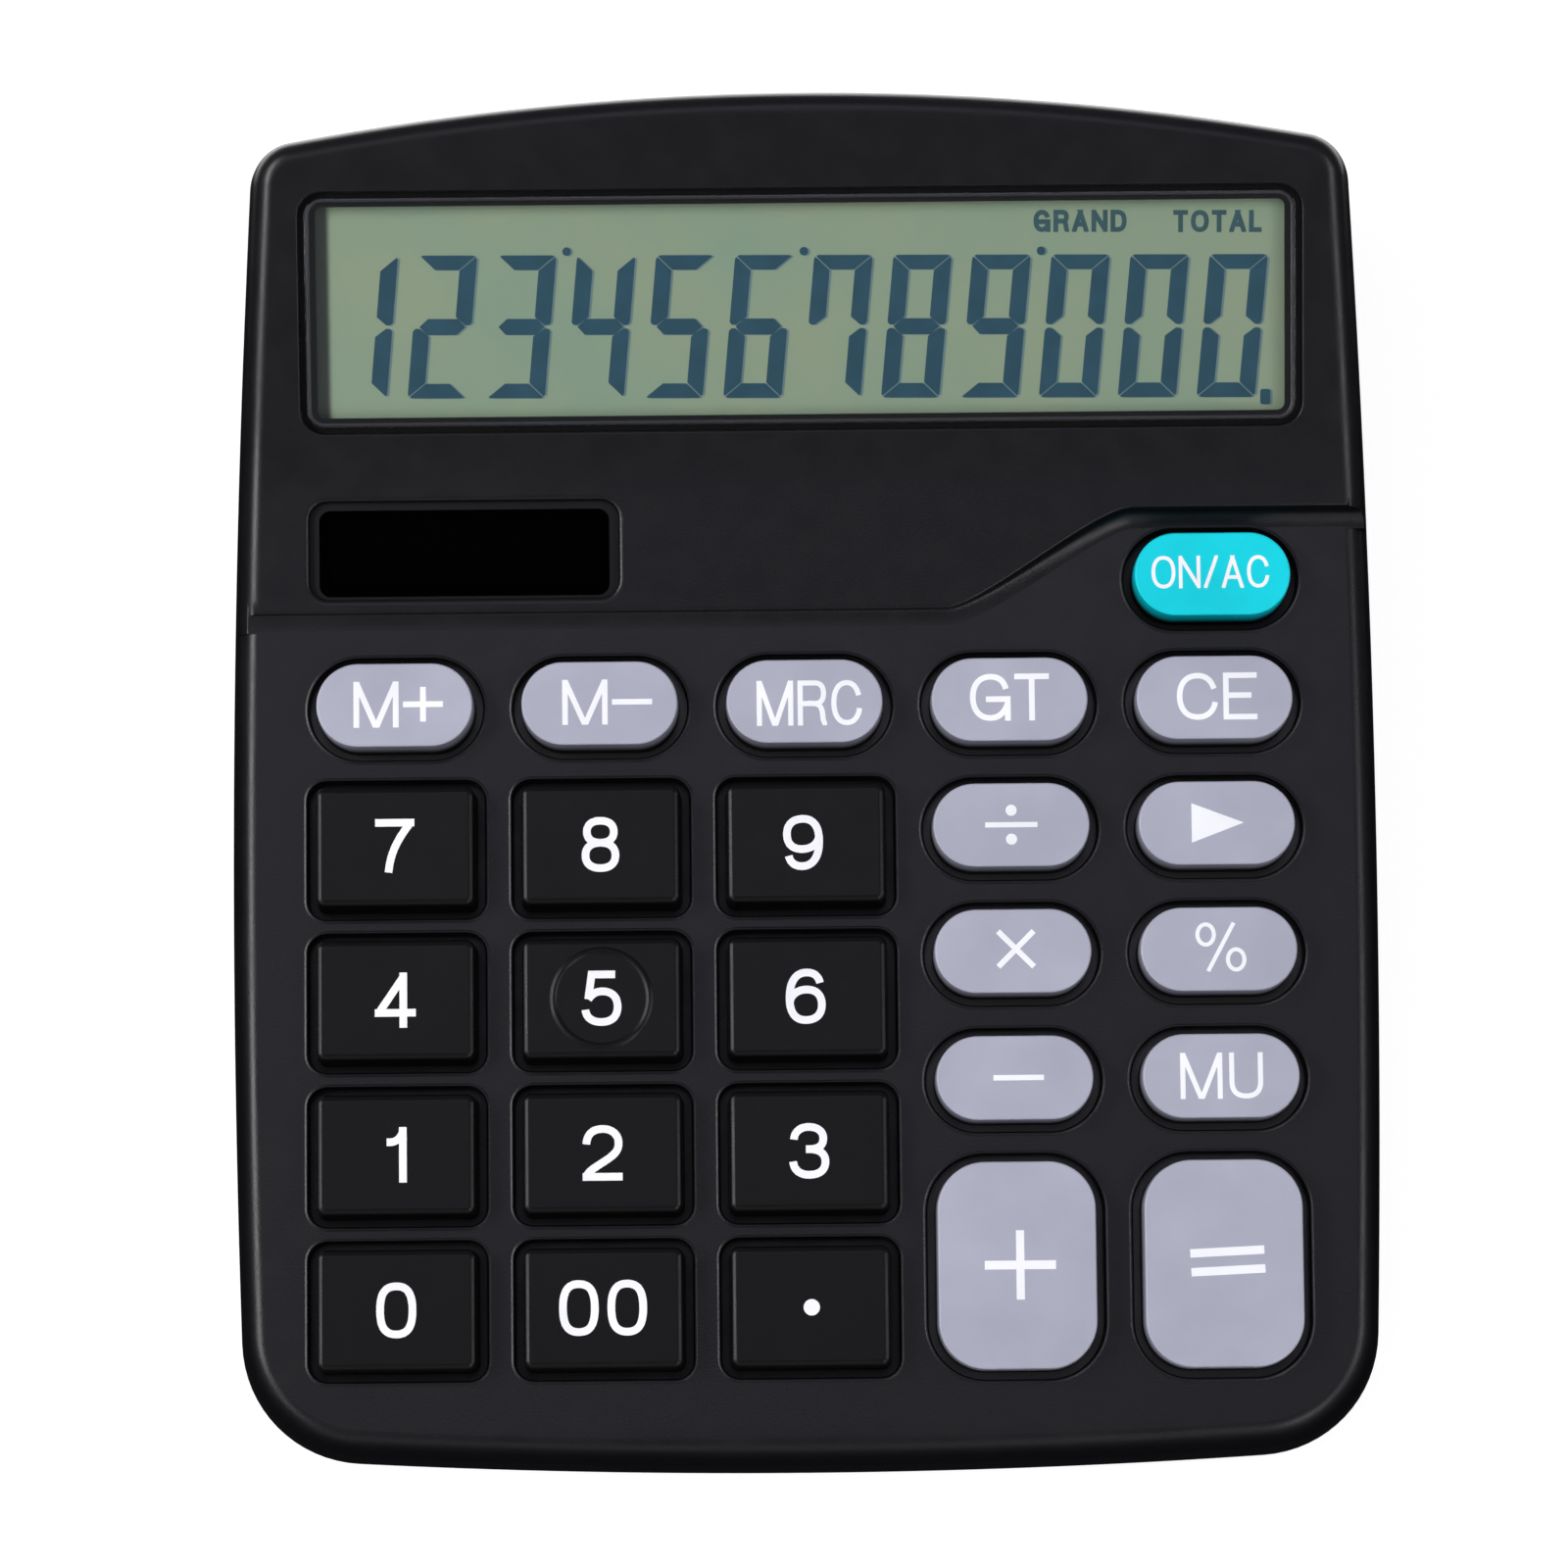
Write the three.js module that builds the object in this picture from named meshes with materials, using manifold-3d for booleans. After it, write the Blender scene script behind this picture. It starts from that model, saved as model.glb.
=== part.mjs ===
// Desk calculator: sloped keypad deck, raised display deck, solar cell and one AA cell.
// Millimetres. +X is the user's right, +Y points away from the user and +Z is up. The origin is on the
// table, under the middle of the footprint.
import * as THREE from "three";
import { mergeVertices } from "three/addons/utils/BufferGeometryUtils.js";
import Module from "manifold-3d";

const wasm = await Module();
wasm.setup();

// ---------------------------------------------------------------- driving dimensions

const rad = THREE.MathUtils.degToRad;
const SLIVER = 0.02; // edges shorter than this are merged away
const GAP = 0.3; // clearance left between pieces that touch
const WALL = 2.2; // casing wall
const FOOT = 1.5; // how far the feet lift the casing off the table
const FLOOR = 2; // thickness of the bottom casing's floor
const SPLIT_Z = 6.5; // height of the joint line between the casings
const FLOOR_TOP = FOOT + FLOOR;
const POST = 2.3; // radius of the top casing's screw posts
const REAR_POST_TOP = 15;

const HALF_WIDTH = 60.2;
const HALF_DEPTH = 71.4;
const WIDEST_Y = 3; // the sides bow out most here
const SIDE_RADIUS = 1500;
const FRONT_RADIUS = 790;
const REAR_RADIUS = 307;
const FRONT_CORNER = 13;
const REAR_CORNER = 7;
const SIDE_DRAFT = Math.tan(rad(5));
const EDGE_RADIUS = 2.4; // rounding where the decks meet the side wall

// A deck is a plane that climbs towards the rear: it holds the point (y, z) and slopes by angle.
const keypadDeck = { y: -71, z: 12, angle: rad(5) };
const middleDeck = { y: 17.1, z: 20.2, angle: rad(11) };
const DISPLAY_Y = 32.7; // the crease below the display
const displayDeck = { y: DISPLAY_Y, z: deckHeight(middleDeck, DISPLAY_Y), angle: rad(18) };

const COLUMN = 21.2; // key columns
const DIGIT_ROW = 15.85; // pitch of the square keys
const FUNCTION_ROW = 13.02; // pitch of the oval keys
const MEMORY_Y = 7.05;
const DIGIT_TOP_Y = -7.6;
const KEY_RISE = 3.8; // key tops above the deck
const KEY_TRAVEL = 1.4;
const FLANGE = 0.5; // how far a key's flange reaches under the deck, each side
const APERTURE_GAP = 0.6; // between a key's body and its hole

// Everything below is measured from the keypad deck, down along its normal.
const FLANGE_TOP = WALL + GAP;
const FLANGE_BOTTOM = FLANGE_TOP + 1;
const DOME_TOP = FLANGE_BOTTOM + 0.4;
const SHEET_TOP = FLANGE_BOTTOM + KEY_TRAVEL + 0.6;
const SHEET_BOTTOM = SHEET_TOP + 0.9;
const BOARD_TOP = SHEET_BOTTOM + GAP;
const BOARD_BOTTOM = BOARD_TOP + 1.6;

const CELL_RADIUS = 7.1;
const CELL_LENGTH = 50.2;
const CELL_Y = 54.4;
const CELL_Z = 10.8;
const BAY_HALF_X = 28.2; // battery bay, inside
const BAY_HALF_Y = 7.7;
const BAY_CEILING = CELL_Z + CELL_RADIUS + 0.5;
const BAY_WALL = 1.3;

const SCREW_SPOTS = [[-31.8, -65], [31.8, -65], [-54.6, 13.5], [54.6, 13.5], [-46, 62.2], [46, 62.2]];
const BOARD_SCREW_SPOTS = [[-31.8, -15.5], [-31.8, -47.3], [31.8, -12.5], [31.8, -38]];
const FOOT_SPOTS = [[-47, -54], [47, -54], [-47, 50], [47, 50]];

// ---------------------------------------------------------------- helpers

function deckHeight(deck, y) {
  return deck.z + (y - deck.y) * Math.tan(deck.angle);
}

// The frame of a deck: X across, Y up the slope, Z along the normal, with its origin over y = at.
function deckFrame(deck, at, x = 0) {
  return new THREE.Matrix4()
    .makeTranslation(x, at, deckHeight(deck, at))
    .multiply(new THREE.Matrix4().makeRotationX(deck.angle));
}

function toSolid(geometry) {
  const bare = geometry.clone();
  for (const name of Object.keys(bare.attributes)) if (name !== "position") bare.deleteAttribute(name);
  const merged = mergeVertices(bare, 1e-4);
  return new wasm.Manifold(new wasm.Mesh({
    numProp: 3,
    vertProperties: merged.attributes.position.array,
    triVerts: new Uint32Array(merged.index.array),
  }));
}

function toGeometry(solid) {
  const mesh = solid.simplify(SLIVER).getMesh();
  return new THREE.BufferGeometry()
    .setAttribute("position", new THREE.BufferAttribute(mesh.vertProperties, 3))
    .setIndex(new THREE.BufferAttribute(mesh.triVerts, 1));
}

const unite = (solids) => solids.reduce((sum, next) => sum.add(next));
const cutAll = (solid, tools) => (tools.length ? solid.subtract(unite(tools)) : solid);
const placed = (geometry, matrix) => toSolid(geometry.clone().applyMatrix4(matrix));
const at = (x, y, z) => new THREE.Matrix4().makeTranslation(x, y, z);

// A closed skin through rings of equal point counts, capped at both ends. Rings run anticlockwise.
function loft(rings) {
  const count = rings[0].length;
  const positions = rings.flat().flatMap((p) => [p.x, p.y, p.z]);
  const index = [];
  for (let i = 1; i < count - 1; i++) index.push(0, i + 1, i);
  rings.slice(1).forEach((_, k) => {
    for (let i = 0; i < count; i++) {
      const j = (i + 1) % count;
      const [a, b, c, d] = [k * count + i, k * count + j, (k + 1) * count + i, (k + 1) * count + j];
      index.push(a, b, d, a, d, c);
    }
  });
  const last = (rings.length - 1) * count;
  for (let i = 1; i < count - 1; i++) index.push(last, last + i, last + i + 1);
  return new THREE.BufferGeometry()
    .setAttribute("position", new THREE.Float32BufferAttribute(positions, 3))
    .setIndex(index);
}

// A rounded rectangle as an anticlockwise ring at height z, with the same points for any size.
function roundedRing(width, height, radius, z, steps) {
  const r = Math.min(radius, width / 2 - 0.01, height / 2 - 0.01);
  const corners = [[1, 1, 0], [-1, 1, 90], [-1, -1, 180], [1, -1, 270]];
  return corners.flatMap(([sx, sy, start]) =>
    Array.from({ length: steps + 1 }, (_, i) => {
      const a = rad(start + (90 * i) / steps);
      const cx = sx * (width / 2 - r), cy = sy * (height / 2 - r);
      return new THREE.Vector3(cx + r * Math.cos(a), cy + r * Math.sin(a), z);
    }));
}

const roundedBlock = (width, height, radius, z0, z1, steps) =>
  loft([z0, z1].map((z) => roundedRing(width, height, radius, z, steps)));

function box(x0, x1, y0, y1, z0, z1) {
  return new THREE.BoxGeometry(x1 - x0, y1 - y0, z1 - z0)
    .translate((x0 + x1) / 2, (y0 + y1) / 2, (z0 + z1) / 2);
}

// An upright round bar from z0 to z1.
function bar(radius, z0, z1, sides, x = 0, y = 0) {
  return new THREE.CylinderGeometry(radius, radius, z1 - z0, sides)
    .rotateX(Math.PI / 2).translate(x, y, (z0 + z1) / 2);
}

// A solid of revolution about Z from [radius, z] points that start and end on the axis.
function turned(points, sides) {
  return new THREE.LatheGeometry(points.map(([r, z]) => new THREE.Vector2(r, z)), sides)
    .rotateX(Math.PI / 2);
}

function prism(points, z0, z1) {
  const shape = new THREE.Shape(points.map(([x, y]) => new THREE.Vector2(x, y)));
  return new THREE.ExtrudeGeometry(shape, { depth: z1 - z0, bevelEnabled: false }).translate(0, 0, z0);
}

function tube(points, radius, sides, steps) {
  const curve = new THREE.CatmullRomCurve3(points.map((p) => new THREE.Vector3(...p)));
  const section = new THREE.Shape(Array.from({ length: sides }, (_, i) => {
    const a = (2 * Math.PI * i) / sides;
    return new THREE.Vector2(radius * Math.cos(a), radius * Math.sin(a));
  }));
  return new THREE.ExtrudeGeometry(section, { steps, extrudePath: curve, bevelEnabled: false });
}

// ---------------------------------------------------------------- casing outline

// Centre of the circle of radius r that rounds the corner between two large circles, both from inside.
function cornerCentre(a, ra, b, rb, r, pick) {
  const d = a.distanceTo(b);
  const along = ((ra - r) ** 2 - (rb - r) ** 2 + d * d) / (2 * d);
  const off = Math.sqrt((ra - r) ** 2 - along ** 2);
  const u = b.clone().sub(a).divideScalar(d);
  const foot = a.clone().addScaledVector(u, along);
  const sides = [1, -1].map((s) => foot.clone().add(new THREE.Vector2(-u.y, u.x).multiplyScalar(s * off)));
  return sides.sort((p, q) => q.dot(pick) - p.dot(pick))[0];
}

// Points and outward directions of the footprint at the joint line, anticlockwise.
function footprint() {
  const side = { c: new THREE.Vector2(HALF_WIDTH - SIDE_RADIUS, WIDEST_Y), r: SIDE_RADIUS };
  const rear = { c: new THREE.Vector2(0, HALF_DEPTH - REAR_RADIUS), r: REAR_RADIUS };
  const front = { c: new THREE.Vector2(0, FRONT_RADIUS - HALF_DEPTH), r: FRONT_RADIUS };
  const corner = (end, r, sy) => cornerCentre(side.c, side.r, end.c, end.r, r, new THREE.Vector2(1, sy));
  const rearCorner = { c: corner(rear, REAR_CORNER, 1), r: REAR_CORNER };
  const frontCorner = { c: corner(front, FRONT_CORNER, -1), r: FRONT_CORNER };
  const heading = (from, to) => Math.atan2(to.c.y - from.c.y, to.c.x - from.c.x);
  const arcs = [
    [front, -Math.PI / 2, heading(front, frontCorner), 4],
    [frontCorner, heading(front, frontCorner), heading(side, frontCorner), 6],
    [side, heading(side, frontCorner), heading(side, rearCorner), 6],
    [rearCorner, heading(side, rearCorner), heading(rear, rearCorner), 5],
    [rear, heading(rear, rearCorner), Math.PI / 2, 6],
  ];
  const half = arcs.flatMap(([arc, from, to, steps]) =>
    Array.from({ length: steps }, (_, i) => {
      const a = from + ((to - from) * i) / steps;
      const n = new THREE.Vector2(Math.cos(a), Math.sin(a));
      return { p: arc.c.clone().addScaledVector(n, arc.r), n };
    }));
  const mirrored = half.slice(1).reverse().map(({ p, n }) => ({
    p: new THREE.Vector2(-p.x, p.y), n: new THREE.Vector2(-n.x, n.y),
  }));
  const rearMiddle = { p: new THREE.Vector2(0, HALF_DEPTH), n: new THREE.Vector2(0, 1) };
  return [...half, rearMiddle, ...mirrored];
}

const FOOTPRINT = footprint();

// A ring of the casing: inset from the footprint, at the height that heightAt(y) gives. The walls lean
// in with height above the joint line.
function casingRing(inset, heightAt) {
  return FOOTPRINT.map(({ p, n }) => {
    let q = p, z = SPLIT_Z;
    for (let pass = 0; pass < 4; pass++) {
      z = heightAt(q.y);
      q = p.clone().addScaledVector(n, -inset - Math.max(0, z - SPLIT_Z) * SIDE_DRAFT);
    }
    return new THREE.Vector3(q.x, q.y, z);
  });
}

// The casing's bulk under one deck, drop below it and inset inside the wall, from z0 up. Its upper edge
// is rounded in as many chords as steps.
function bulkUnder(deck, inset, drop, z0, steps) {
  const edge = EDGE_RADIUS - inset / 2;
  const rings = [casingRing(inset, () => z0)];
  for (let i = 0; i <= steps; i++) {
    const angle = (Math.PI / 2) * (i / steps);
    const inward = edge * (1 - Math.cos(angle));
    const down = edge * (1 - Math.sin(angle));
    rings.push(casingRing(inset + inward, (y) => deckHeight(deck, y) - drop - down));
  }
  return toSolid(loft(rings));
}

// The step between the keypad deck and the middle deck, seen from above: low on the left, then a
// slanting run with rounded ends up to the right. shift moves it towards the rear.
function stepLine(shift) {
  const [lowY, highY, lowX, highX, ease] = [17.1, 27.1, 14.7, 34.4, 0.2];
  const slant = new THREE.CubicBezierCurve(
    new THREE.Vector2(lowX, lowY),
    new THREE.Vector2(lowX + (highX - lowX) * ease, lowY),
    new THREE.Vector2(highX - (highX - lowX) * ease, highY),
    new THREE.Vector2(highX, highY));
  return [[-80, lowY + shift], ...slant.getPoints(10).map((p) => [p.x, p.y + shift]), [80, highY + shift]];
}

const raisedRegion = (shift) => toSolid(prism([...stepLine(shift), [80, 100], [-80, 100]], 0, 60));

// The whole upper bulk of the casing: keypad deck, with the middle and display decks raised behind it.
function upperBulk(inset, drop, z0, steps) {
  const [low, middle, high] = [keypadDeck, middleDeck, displayDeck]
    .map((deck) => bulkUnder(deck, inset, drop, z0, steps));
  return low.add(middle.add(high).intersect(raisedRegion(inset)));
}

// ---------------------------------------------------------------- keys

// Sizes are of the key's top face. steps is the number of chords in each rounded corner.
const squareKey = { width: 16.4, height: 12.4, radius: 1.2, steps: 2 };
const ovalKey = { width: 16.15, height: 8.65, radius: 4.32, steps: 3 };
const tallKey = { width: 16.25, height: 21.2, radius: 4.9, steps: 3 };
const TALL_Y = -51.15;

const KEYS = [];
const addKey = (name, column, y, kind, look) => KEYS.push({ name, x: column * COLUMN, y, kind, look });

["7", "8", "9", "4", "5", "6", "1", "2", "3", "0", "00", "point"].forEach((name, i) =>
  addKey("key_" + name, (i % 3) - 2, DIGIT_TOP_Y - Math.floor(i / 3) * DIGIT_ROW, squareKey, "black"));
["memory_plus", "memory_minus", "memory_recall", "grand_total", "clear_entry"].forEach((name, i) =>
  addKey("key_" + name, i - 2, MEMORY_Y, ovalKey, "grey"));
["divide", "backspace", "multiply", "percent", "minus", "markup"].forEach((name, i) =>
  addKey("key_" + name, 1 + (i % 2), MEMORY_Y - (1 + Math.floor(i / 2)) * FUNCTION_ROW, ovalKey, "grey"));
addKey("key_plus", 1, TALL_Y, tallKey, "grey");
addKey("key_equals", 2, TALL_Y, tallKey, "grey");
addKey("key_on", 2, 19.9, ovalKey, "cyan");

// Ring of a key at height z, grown by the same amount on every side of its top face.
const keyRing = (kind, grow, z) =>
  roundedRing(kind.width + 2 * grow, kind.height + 2 * grow, kind.radius + Math.max(grow, -0.8), z, kind.steps);

const BODY_GROWTH = 0.35; // the key is wider where it enters the casing
const HOLE_GROWTH = BODY_GROWTH + APERTURE_GAP;

// A cap with a flange that holds it under the deck, hollow from below, with a plunger over the dome.
function keyCap(kind) {
  const shell = 1.3;
  const ceiling = KEY_RISE - 1.6;
  const outside = toSolid(loft([
    keyRing(kind, HOLE_GROWTH + FLANGE, -FLANGE_BOTTOM),
    keyRing(kind, HOLE_GROWTH + FLANGE, -FLANGE_TOP),
    keyRing(kind, BODY_GROWTH, -FLANGE_TOP + 0.01),
    keyRing(kind, 0, KEY_RISE - 0.3),
    keyRing(kind, -0.3, KEY_RISE),
  ]));
  const hollow = toSolid(roundedBlock(kind.width - 2 * shell, kind.height - 2 * shell,
    Math.max(kind.radius - shell, 0.3), -FLANGE_BOTTOM - 1, ceiling, 1));
  const plunger = toSolid(bar(1.8, -FLANGE_BOTTOM - 0.1, ceiling + 0.5, 8));
  return toGeometry(outside.subtract(hollow).add(plunger));
}

const keyHole = (kind, depth) =>
  loft([-depth, 4].map((z) => keyRing(kind, HOLE_GROWTH, z)));

// ---------------------------------------------------------------- casings

const DISPLAY_MIDDLE_Y = 47.2; // the window's centre on the display deck
const LENS = { width: 103.3, height: 24.2, radius: 2 };
const LENS_SEAT = 1.4; // depth of the lens's recess
const WINDOW = { width: 100.8, height: 22, radius: 0.8 };
const SOLAR_X = -35.25;
const SOLAR_MIDDLE_Y = 23.4;
const SOLAR_RECESS = { width: 32.2, height: 10.2, radius: 1.9 };
const SOLAR_OPENING = { width: 29.4, height: 8.2, radius: 0.8 };
const SOLAR_SEAT = 1.1;

const blockOf = (size, grow, z0, z1, steps) =>
  roundedBlock(size.width + 2 * grow, size.height + 2 * grow, size.radius, z0, z1, steps);

function topCasing() {
  const displayFrame = deckFrame(displayDeck, DISPLAY_MIDDLE_Y);
  const solarFrame = deckFrame(middleDeck, SOLAR_MIDDLE_Y, SOLAR_X);
  const holes = KEYS.map(({ x, y, kind }) => placed(keyHole(kind, WALL + 2), deckFrame(keypadDeck, y, x)));
  holes.push(
    placed(blockOf(LENS, 0.4, -LENS_SEAT, 5, 3), displayFrame),
    placed(blockOf(WINDOW, 0, -WALL - 2, 1, 1), displayFrame),
    placed(blockOf(SOLAR_RECESS, 0, -SOLAR_SEAT, 4, 3), solarFrame),
    placed(blockOf(SOLAR_OPENING, 0, -WALL - 2, 1, 1), solarFrame));
  const shell = upperBulk(0, 0, SPLIT_Z + GAP, 4).subtract(upperBulk(WALL, WALL, SPLIT_Z, 1));
  const cellPocket = box(-16.6, 16.6, -5.4, 5.6, -WALL - 2, -WALL);
  holes.push(placed(cellPocket, solarFrame));

  // Posts stand on the bottom casing's posts. The rear pair is short, to clear the display, and a rib
  // ties each of them to the rear wall. Thinner posts hang down to the circuit board.
  const inside = upperBulk(WALL / 2, WALL / 2, 0, 1);
  const posts = SCREW_SPOTS.flatMap(([x, y]) => {
    const bottom = SPLIT_Z + GAP;
    const isRear = y > DISPLAY_Y;
    const rib = box(x - 0.8, x + 0.8, y, y + 8, bottom, REAR_POST_TOP);
    return isRear ? [bar(POST, bottom, REAR_POST_TOP, 10, x, y), rib] : [bar(POST, bottom, 40, 10, x, y)];
  }).map((post) => toSolid(post).intersect(inside));
  const boardPosts = BOARD_SCREW_SPOTS.map(([x, y]) =>
    placed(bar(1.6, -BOARD_TOP + GAP, -WALL + 0.5, 8), deckFrame(keypadDeck, y, x)));
  const pilots = SCREW_SPOTS.map(([x, y]) => toSolid(bar(1.45, 0, SPLIT_Z + 4.3, 8, x, y)));
  const boardPilots = BOARD_SCREW_SPOTS.map(([x, y]) =>
    placed(bar(1, -BOARD_TOP - 1, -BOARD_TOP + 3.6, 8), deckFrame(keypadDeck, y, x)));
  const body = cutAll(shell, holes).add(unite([...posts, ...boardPosts]));
  return toGeometry(cutAll(body, [...pilots, ...boardPilots]));
}

// The battery door slides rearwards out of its channel. Its side rails run in grooves in the floor.
const DOOR = { halfX: 31, front: 44.6, thickness: 1.6, rail: 1 };
const DOOR_TOP = FOOT + DOOR.thickness;
const DOOR_REAR = 80; // past the rear edge, which trims the door

// The bottom casing's bulk. grow makes it larger on every side.
function lowerBulk(grow) {
  return toSolid(loft([
    casingRing(1.9 - grow, () => FOOT - grow),
    casingRing(0.6 - grow, () => FOOT + 1.2),
    casingRing(-grow, () => SPLIT_Z),
  ]));
}

function bottomCasing() {
  const level = (inset, z) => casingRing(inset, () => z);
  const hollow = toSolid(loft([level(WALL + 0.6, FLOOR_TOP), level(WALL, SPLIT_Z + 1)]));
  const lipOuter = toSolid(loft([FLOOR_TOP - 1, SPLIT_Z + 1.2].map((z) => level(WALL + 0.4, z))));
  const lipInner = toSolid(loft([FLOOR_TOP - 2, SPLIT_Z + 3].map((z) => level(WALL + 1.4, z))));
  const posts = SCREW_SPOTS.map(([x, y]) => toSolid(bar(POST + 0.9, FLOOR_TOP - 1, SPLIT_Z, 12, x, y)));
  const bay = box(-BAY_HALF_X - BAY_WALL, BAY_HALF_X + BAY_WALL, CELL_Y - BAY_HALF_Y - BAY_WALL,
    CELL_Y + BAY_HALF_Y + BAY_WALL, FLOOR_TOP - 1, BAY_CEILING + BAY_WALL);
  const bulk = lowerBulk(0);
  const pad = toSolid(box(-DOOR.halfX - 4, DOOR.halfX + 4, DOOR.front - 3, DOOR_REAR, FOOT + 1, FLOOR_TOP + 1));
  const solid = unite([bulk.subtract(hollow), lipOuter.subtract(lipInner), toSolid(bay), pad.intersect(bulk),
    unite(posts).intersect(bulk)]);

  const slack = DOOR.halfX + GAP;
  const cuts = [
    box(-slack, slack, DOOR.front - GAP, DOOR_REAR, 0, DOOR_TOP + GAP),
    box(-slack - DOOR.rail, slack + DOOR.rail, DOOR.front - GAP, DOOR_REAR, DOOR_TOP - 0.9, DOOR_TOP + GAP),
    box(-BAY_HALF_X, BAY_HALF_X, CELL_Y - BAY_HALF_Y, CELL_Y + BAY_HALF_Y, 0, BAY_CEILING),
    // passages for the two battery leads
    ...[-1, 1].map((s) => box(s * 26 - 1.6, s * 26 + 1.6, CELL_Y - BAY_HALF_Y - 3, CELL_Y - BAY_HALF_Y + 1,
      BAY_CEILING - 3.4, BAY_CEILING - 0.4)),
    ...FOOT_SPOTS.map(([x, y]) => bar(4.5 + GAP, 0, FOOT + 0.6, 16, x, y)),
    ...SCREW_SPOTS.flatMap(([x, y]) => [
      bar(2.5, 0, FOOT + 1.9, 12, x, y),
      bar(1.45, 0, SPLIT_Z + 2, 8, x, y),
      bar(POST + GAP, SPLIT_Z, SPLIT_Z + 4, 12, x, y),
    ]),
    // slots in the lip for the ribs behind the rear posts
    ...SCREW_SPOTS.slice(-2).map(([x, y]) => box(x - 0.8 - GAP, x + 0.8 + GAP, y, y + 5, SPLIT_Z, SPLIT_Z + 4)),
  ].map(toSolid);
  return toGeometry(cutAll(solid, cuts));
}

// A plate flush with the underside and with the rear edge, with a rail along each side.
function batteryDoor() {
  const plate = toSolid(box(-DOOR.halfX, DOOR.halfX, DOOR.front, DOOR_REAR, 0, DOOR_TOP));
  const rails = toSolid(box(-DOOR.halfX - DOOR.rail, DOOR.halfX + DOOR.rail, DOOR.front, DOOR_REAR,
    DOOR_TOP - 0.6, DOOR_TOP));
  return toGeometry(plate.add(rails).intersect(lowerBulk(0)));
}

// ---------------------------------------------------------------- display and solar cell

const LCD_DEPTH = 2.8; // front of the glass below the display deck
const LCD = { width: 102.4, height: 25.6, thickness: 2 };
const LCD_BACK = LCD_DEPTH + LCD.thickness;
const FILM = { left: -16, right: 30 };

// Two bonded glass plates: the rear one is deeper at its lower edge, where the contacts are.
function lcdPanel() {
  const seam = -LCD_DEPTH - LCD.thickness / 2;
  const [side, low, high] = [LCD.width / 2, -LCD.height / 2, LCD.height / 2];
  const frontGlass = box(-side, side, low + 1.6, high, seam, -LCD_DEPTH);
  const rearGlass = box(-side, side, low, high, -LCD_BACK, seam + 0.01);
  return toGeometry(toSolid(frontGlass).add(toSolid(rearGlass)));
}

const reflectorSheet = () => box(-50.8, 50.8, -12.4, 12.4, -LCD_BACK - GAP - 0.3, -LCD_BACK - GAP);

// A tray that holds the glass and the reflector up against the inside of the window.
function displayHolder() {
  const bottom = -LCD_BACK - 1.9;
  const tray = toSolid(box(-52.4, 52.4, -14, 14, bottom, -WALL - GAP));
  const pocket = toSolid(box(-51.5, 51.5, -13.1, 13.1, bottom + 1, 1));
  const relief = toSolid(box(-30, 30, -8, 8, bottom - 1, 1));
  const slot = toSolid(box(FILM.left - 1, FILM.right + 1, -17, -13, -LCD_BACK - 0.1, 1));
  return toGeometry(cutAll(tray, [pocket, relief, slot]));
}

// The printed film that joins the glass's lower edge to the circuit board, as a thin bent strip.
function displayFilm() {
  const glass = new THREE.Vector3(0, -LCD.height / 2 + 1.2, -LCD_DEPTH - LCD.thickness / 2 + GAP + 0.1)
    .applyMatrix4(deckFrame(displayDeck, DISPLAY_MIDDLE_Y));
  const board = new THREE.Vector3(0, 0, -BOARD_TOP + GAP + 0.1).applyMatrix4(deckFrame(keypadDeck, 24.5));
  const path = new THREE.CubicBezierCurve(
    new THREE.Vector2(glass.y, glass.z), new THREE.Vector2(glass.y - 6, glass.z - 2),
    new THREE.Vector2(board.y + 7, board.z + 0.6), new THREE.Vector2(board.y, board.z)).getPoints(8);
  const thick = 0.2;
  const edge = [...path.map((p) => [p.x, p.y]), ...path.reverse().map((p) => [p.x, p.y + thick])];
  return prism(edge, FILM.left, FILM.right).applyMatrix4(
    new THREE.Matrix4().makeBasis(new THREE.Vector3(0, 1, 0), new THREE.Vector3(0, 0, 1), new THREE.Vector3(1, 0, 0)));
}

const displayLens = () => blockOf(LENS, 0, -LENS_SEAT + GAP, -0.1, 3);

// The lens over the solar cell sits in its recess, and the cell is held under the opening.
const solarWindow = () => blockOf({ ...SOLAR_OPENING, radius: 0.8 }, -GAP, -WALL + 0.2, -SOLAR_SEAT - 0.1, 1);
const solarCell = () => box(-16.2, 16.2, -5, 5.2, -WALL - GAP - 1.1, -WALL - GAP);

// ---------------------------------------------------------------- keypad sheet and circuit board

// A plate under the keypad deck with a tab at its rear right, from x = tab to the plate's right edge.
function deckPlate(z0, z1, tab) {
  const [side, front, shoulder, rear] = [51.6, -59.3, 13.4, 26.3];
  const outline = [[-side, front], [side, front], [side, rear], [tab, rear], [tab, shoulder], [-side, shoulder]];
  return prism(outline.map(([x, y]) => [x, y / Math.cos(keypadDeck.angle)]), z0, z1);
}

// A silicone sheet with one collapsible dome under every key.
function rubberKeypad() {
  const frame = (x, y) => at(x, y / Math.cos(keypadDeck.angle), 0);
  const sheet = toSolid(deckPlate(-SHEET_BOTTOM, -SHEET_TOP, 31.5));
  const dome = toSolid(turned([[0, -SHEET_TOP - 0.2], [3.4, -SHEET_TOP - 0.2], [3.4, -SHEET_TOP],
    [2.2, -DOME_TOP], [0, -DOME_TOP]], 8));
  const domes = KEYS.map(({ x, y }) => dome.transform(frame(x, y).elements));
  const holes = BOARD_SCREW_SPOTS.map(([x, y]) => placed(bar(2.1, -9, 0, 8), frame(x, y)));
  return toGeometry(cutAll(unite([sheet, ...domes]), holes));
}

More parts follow.
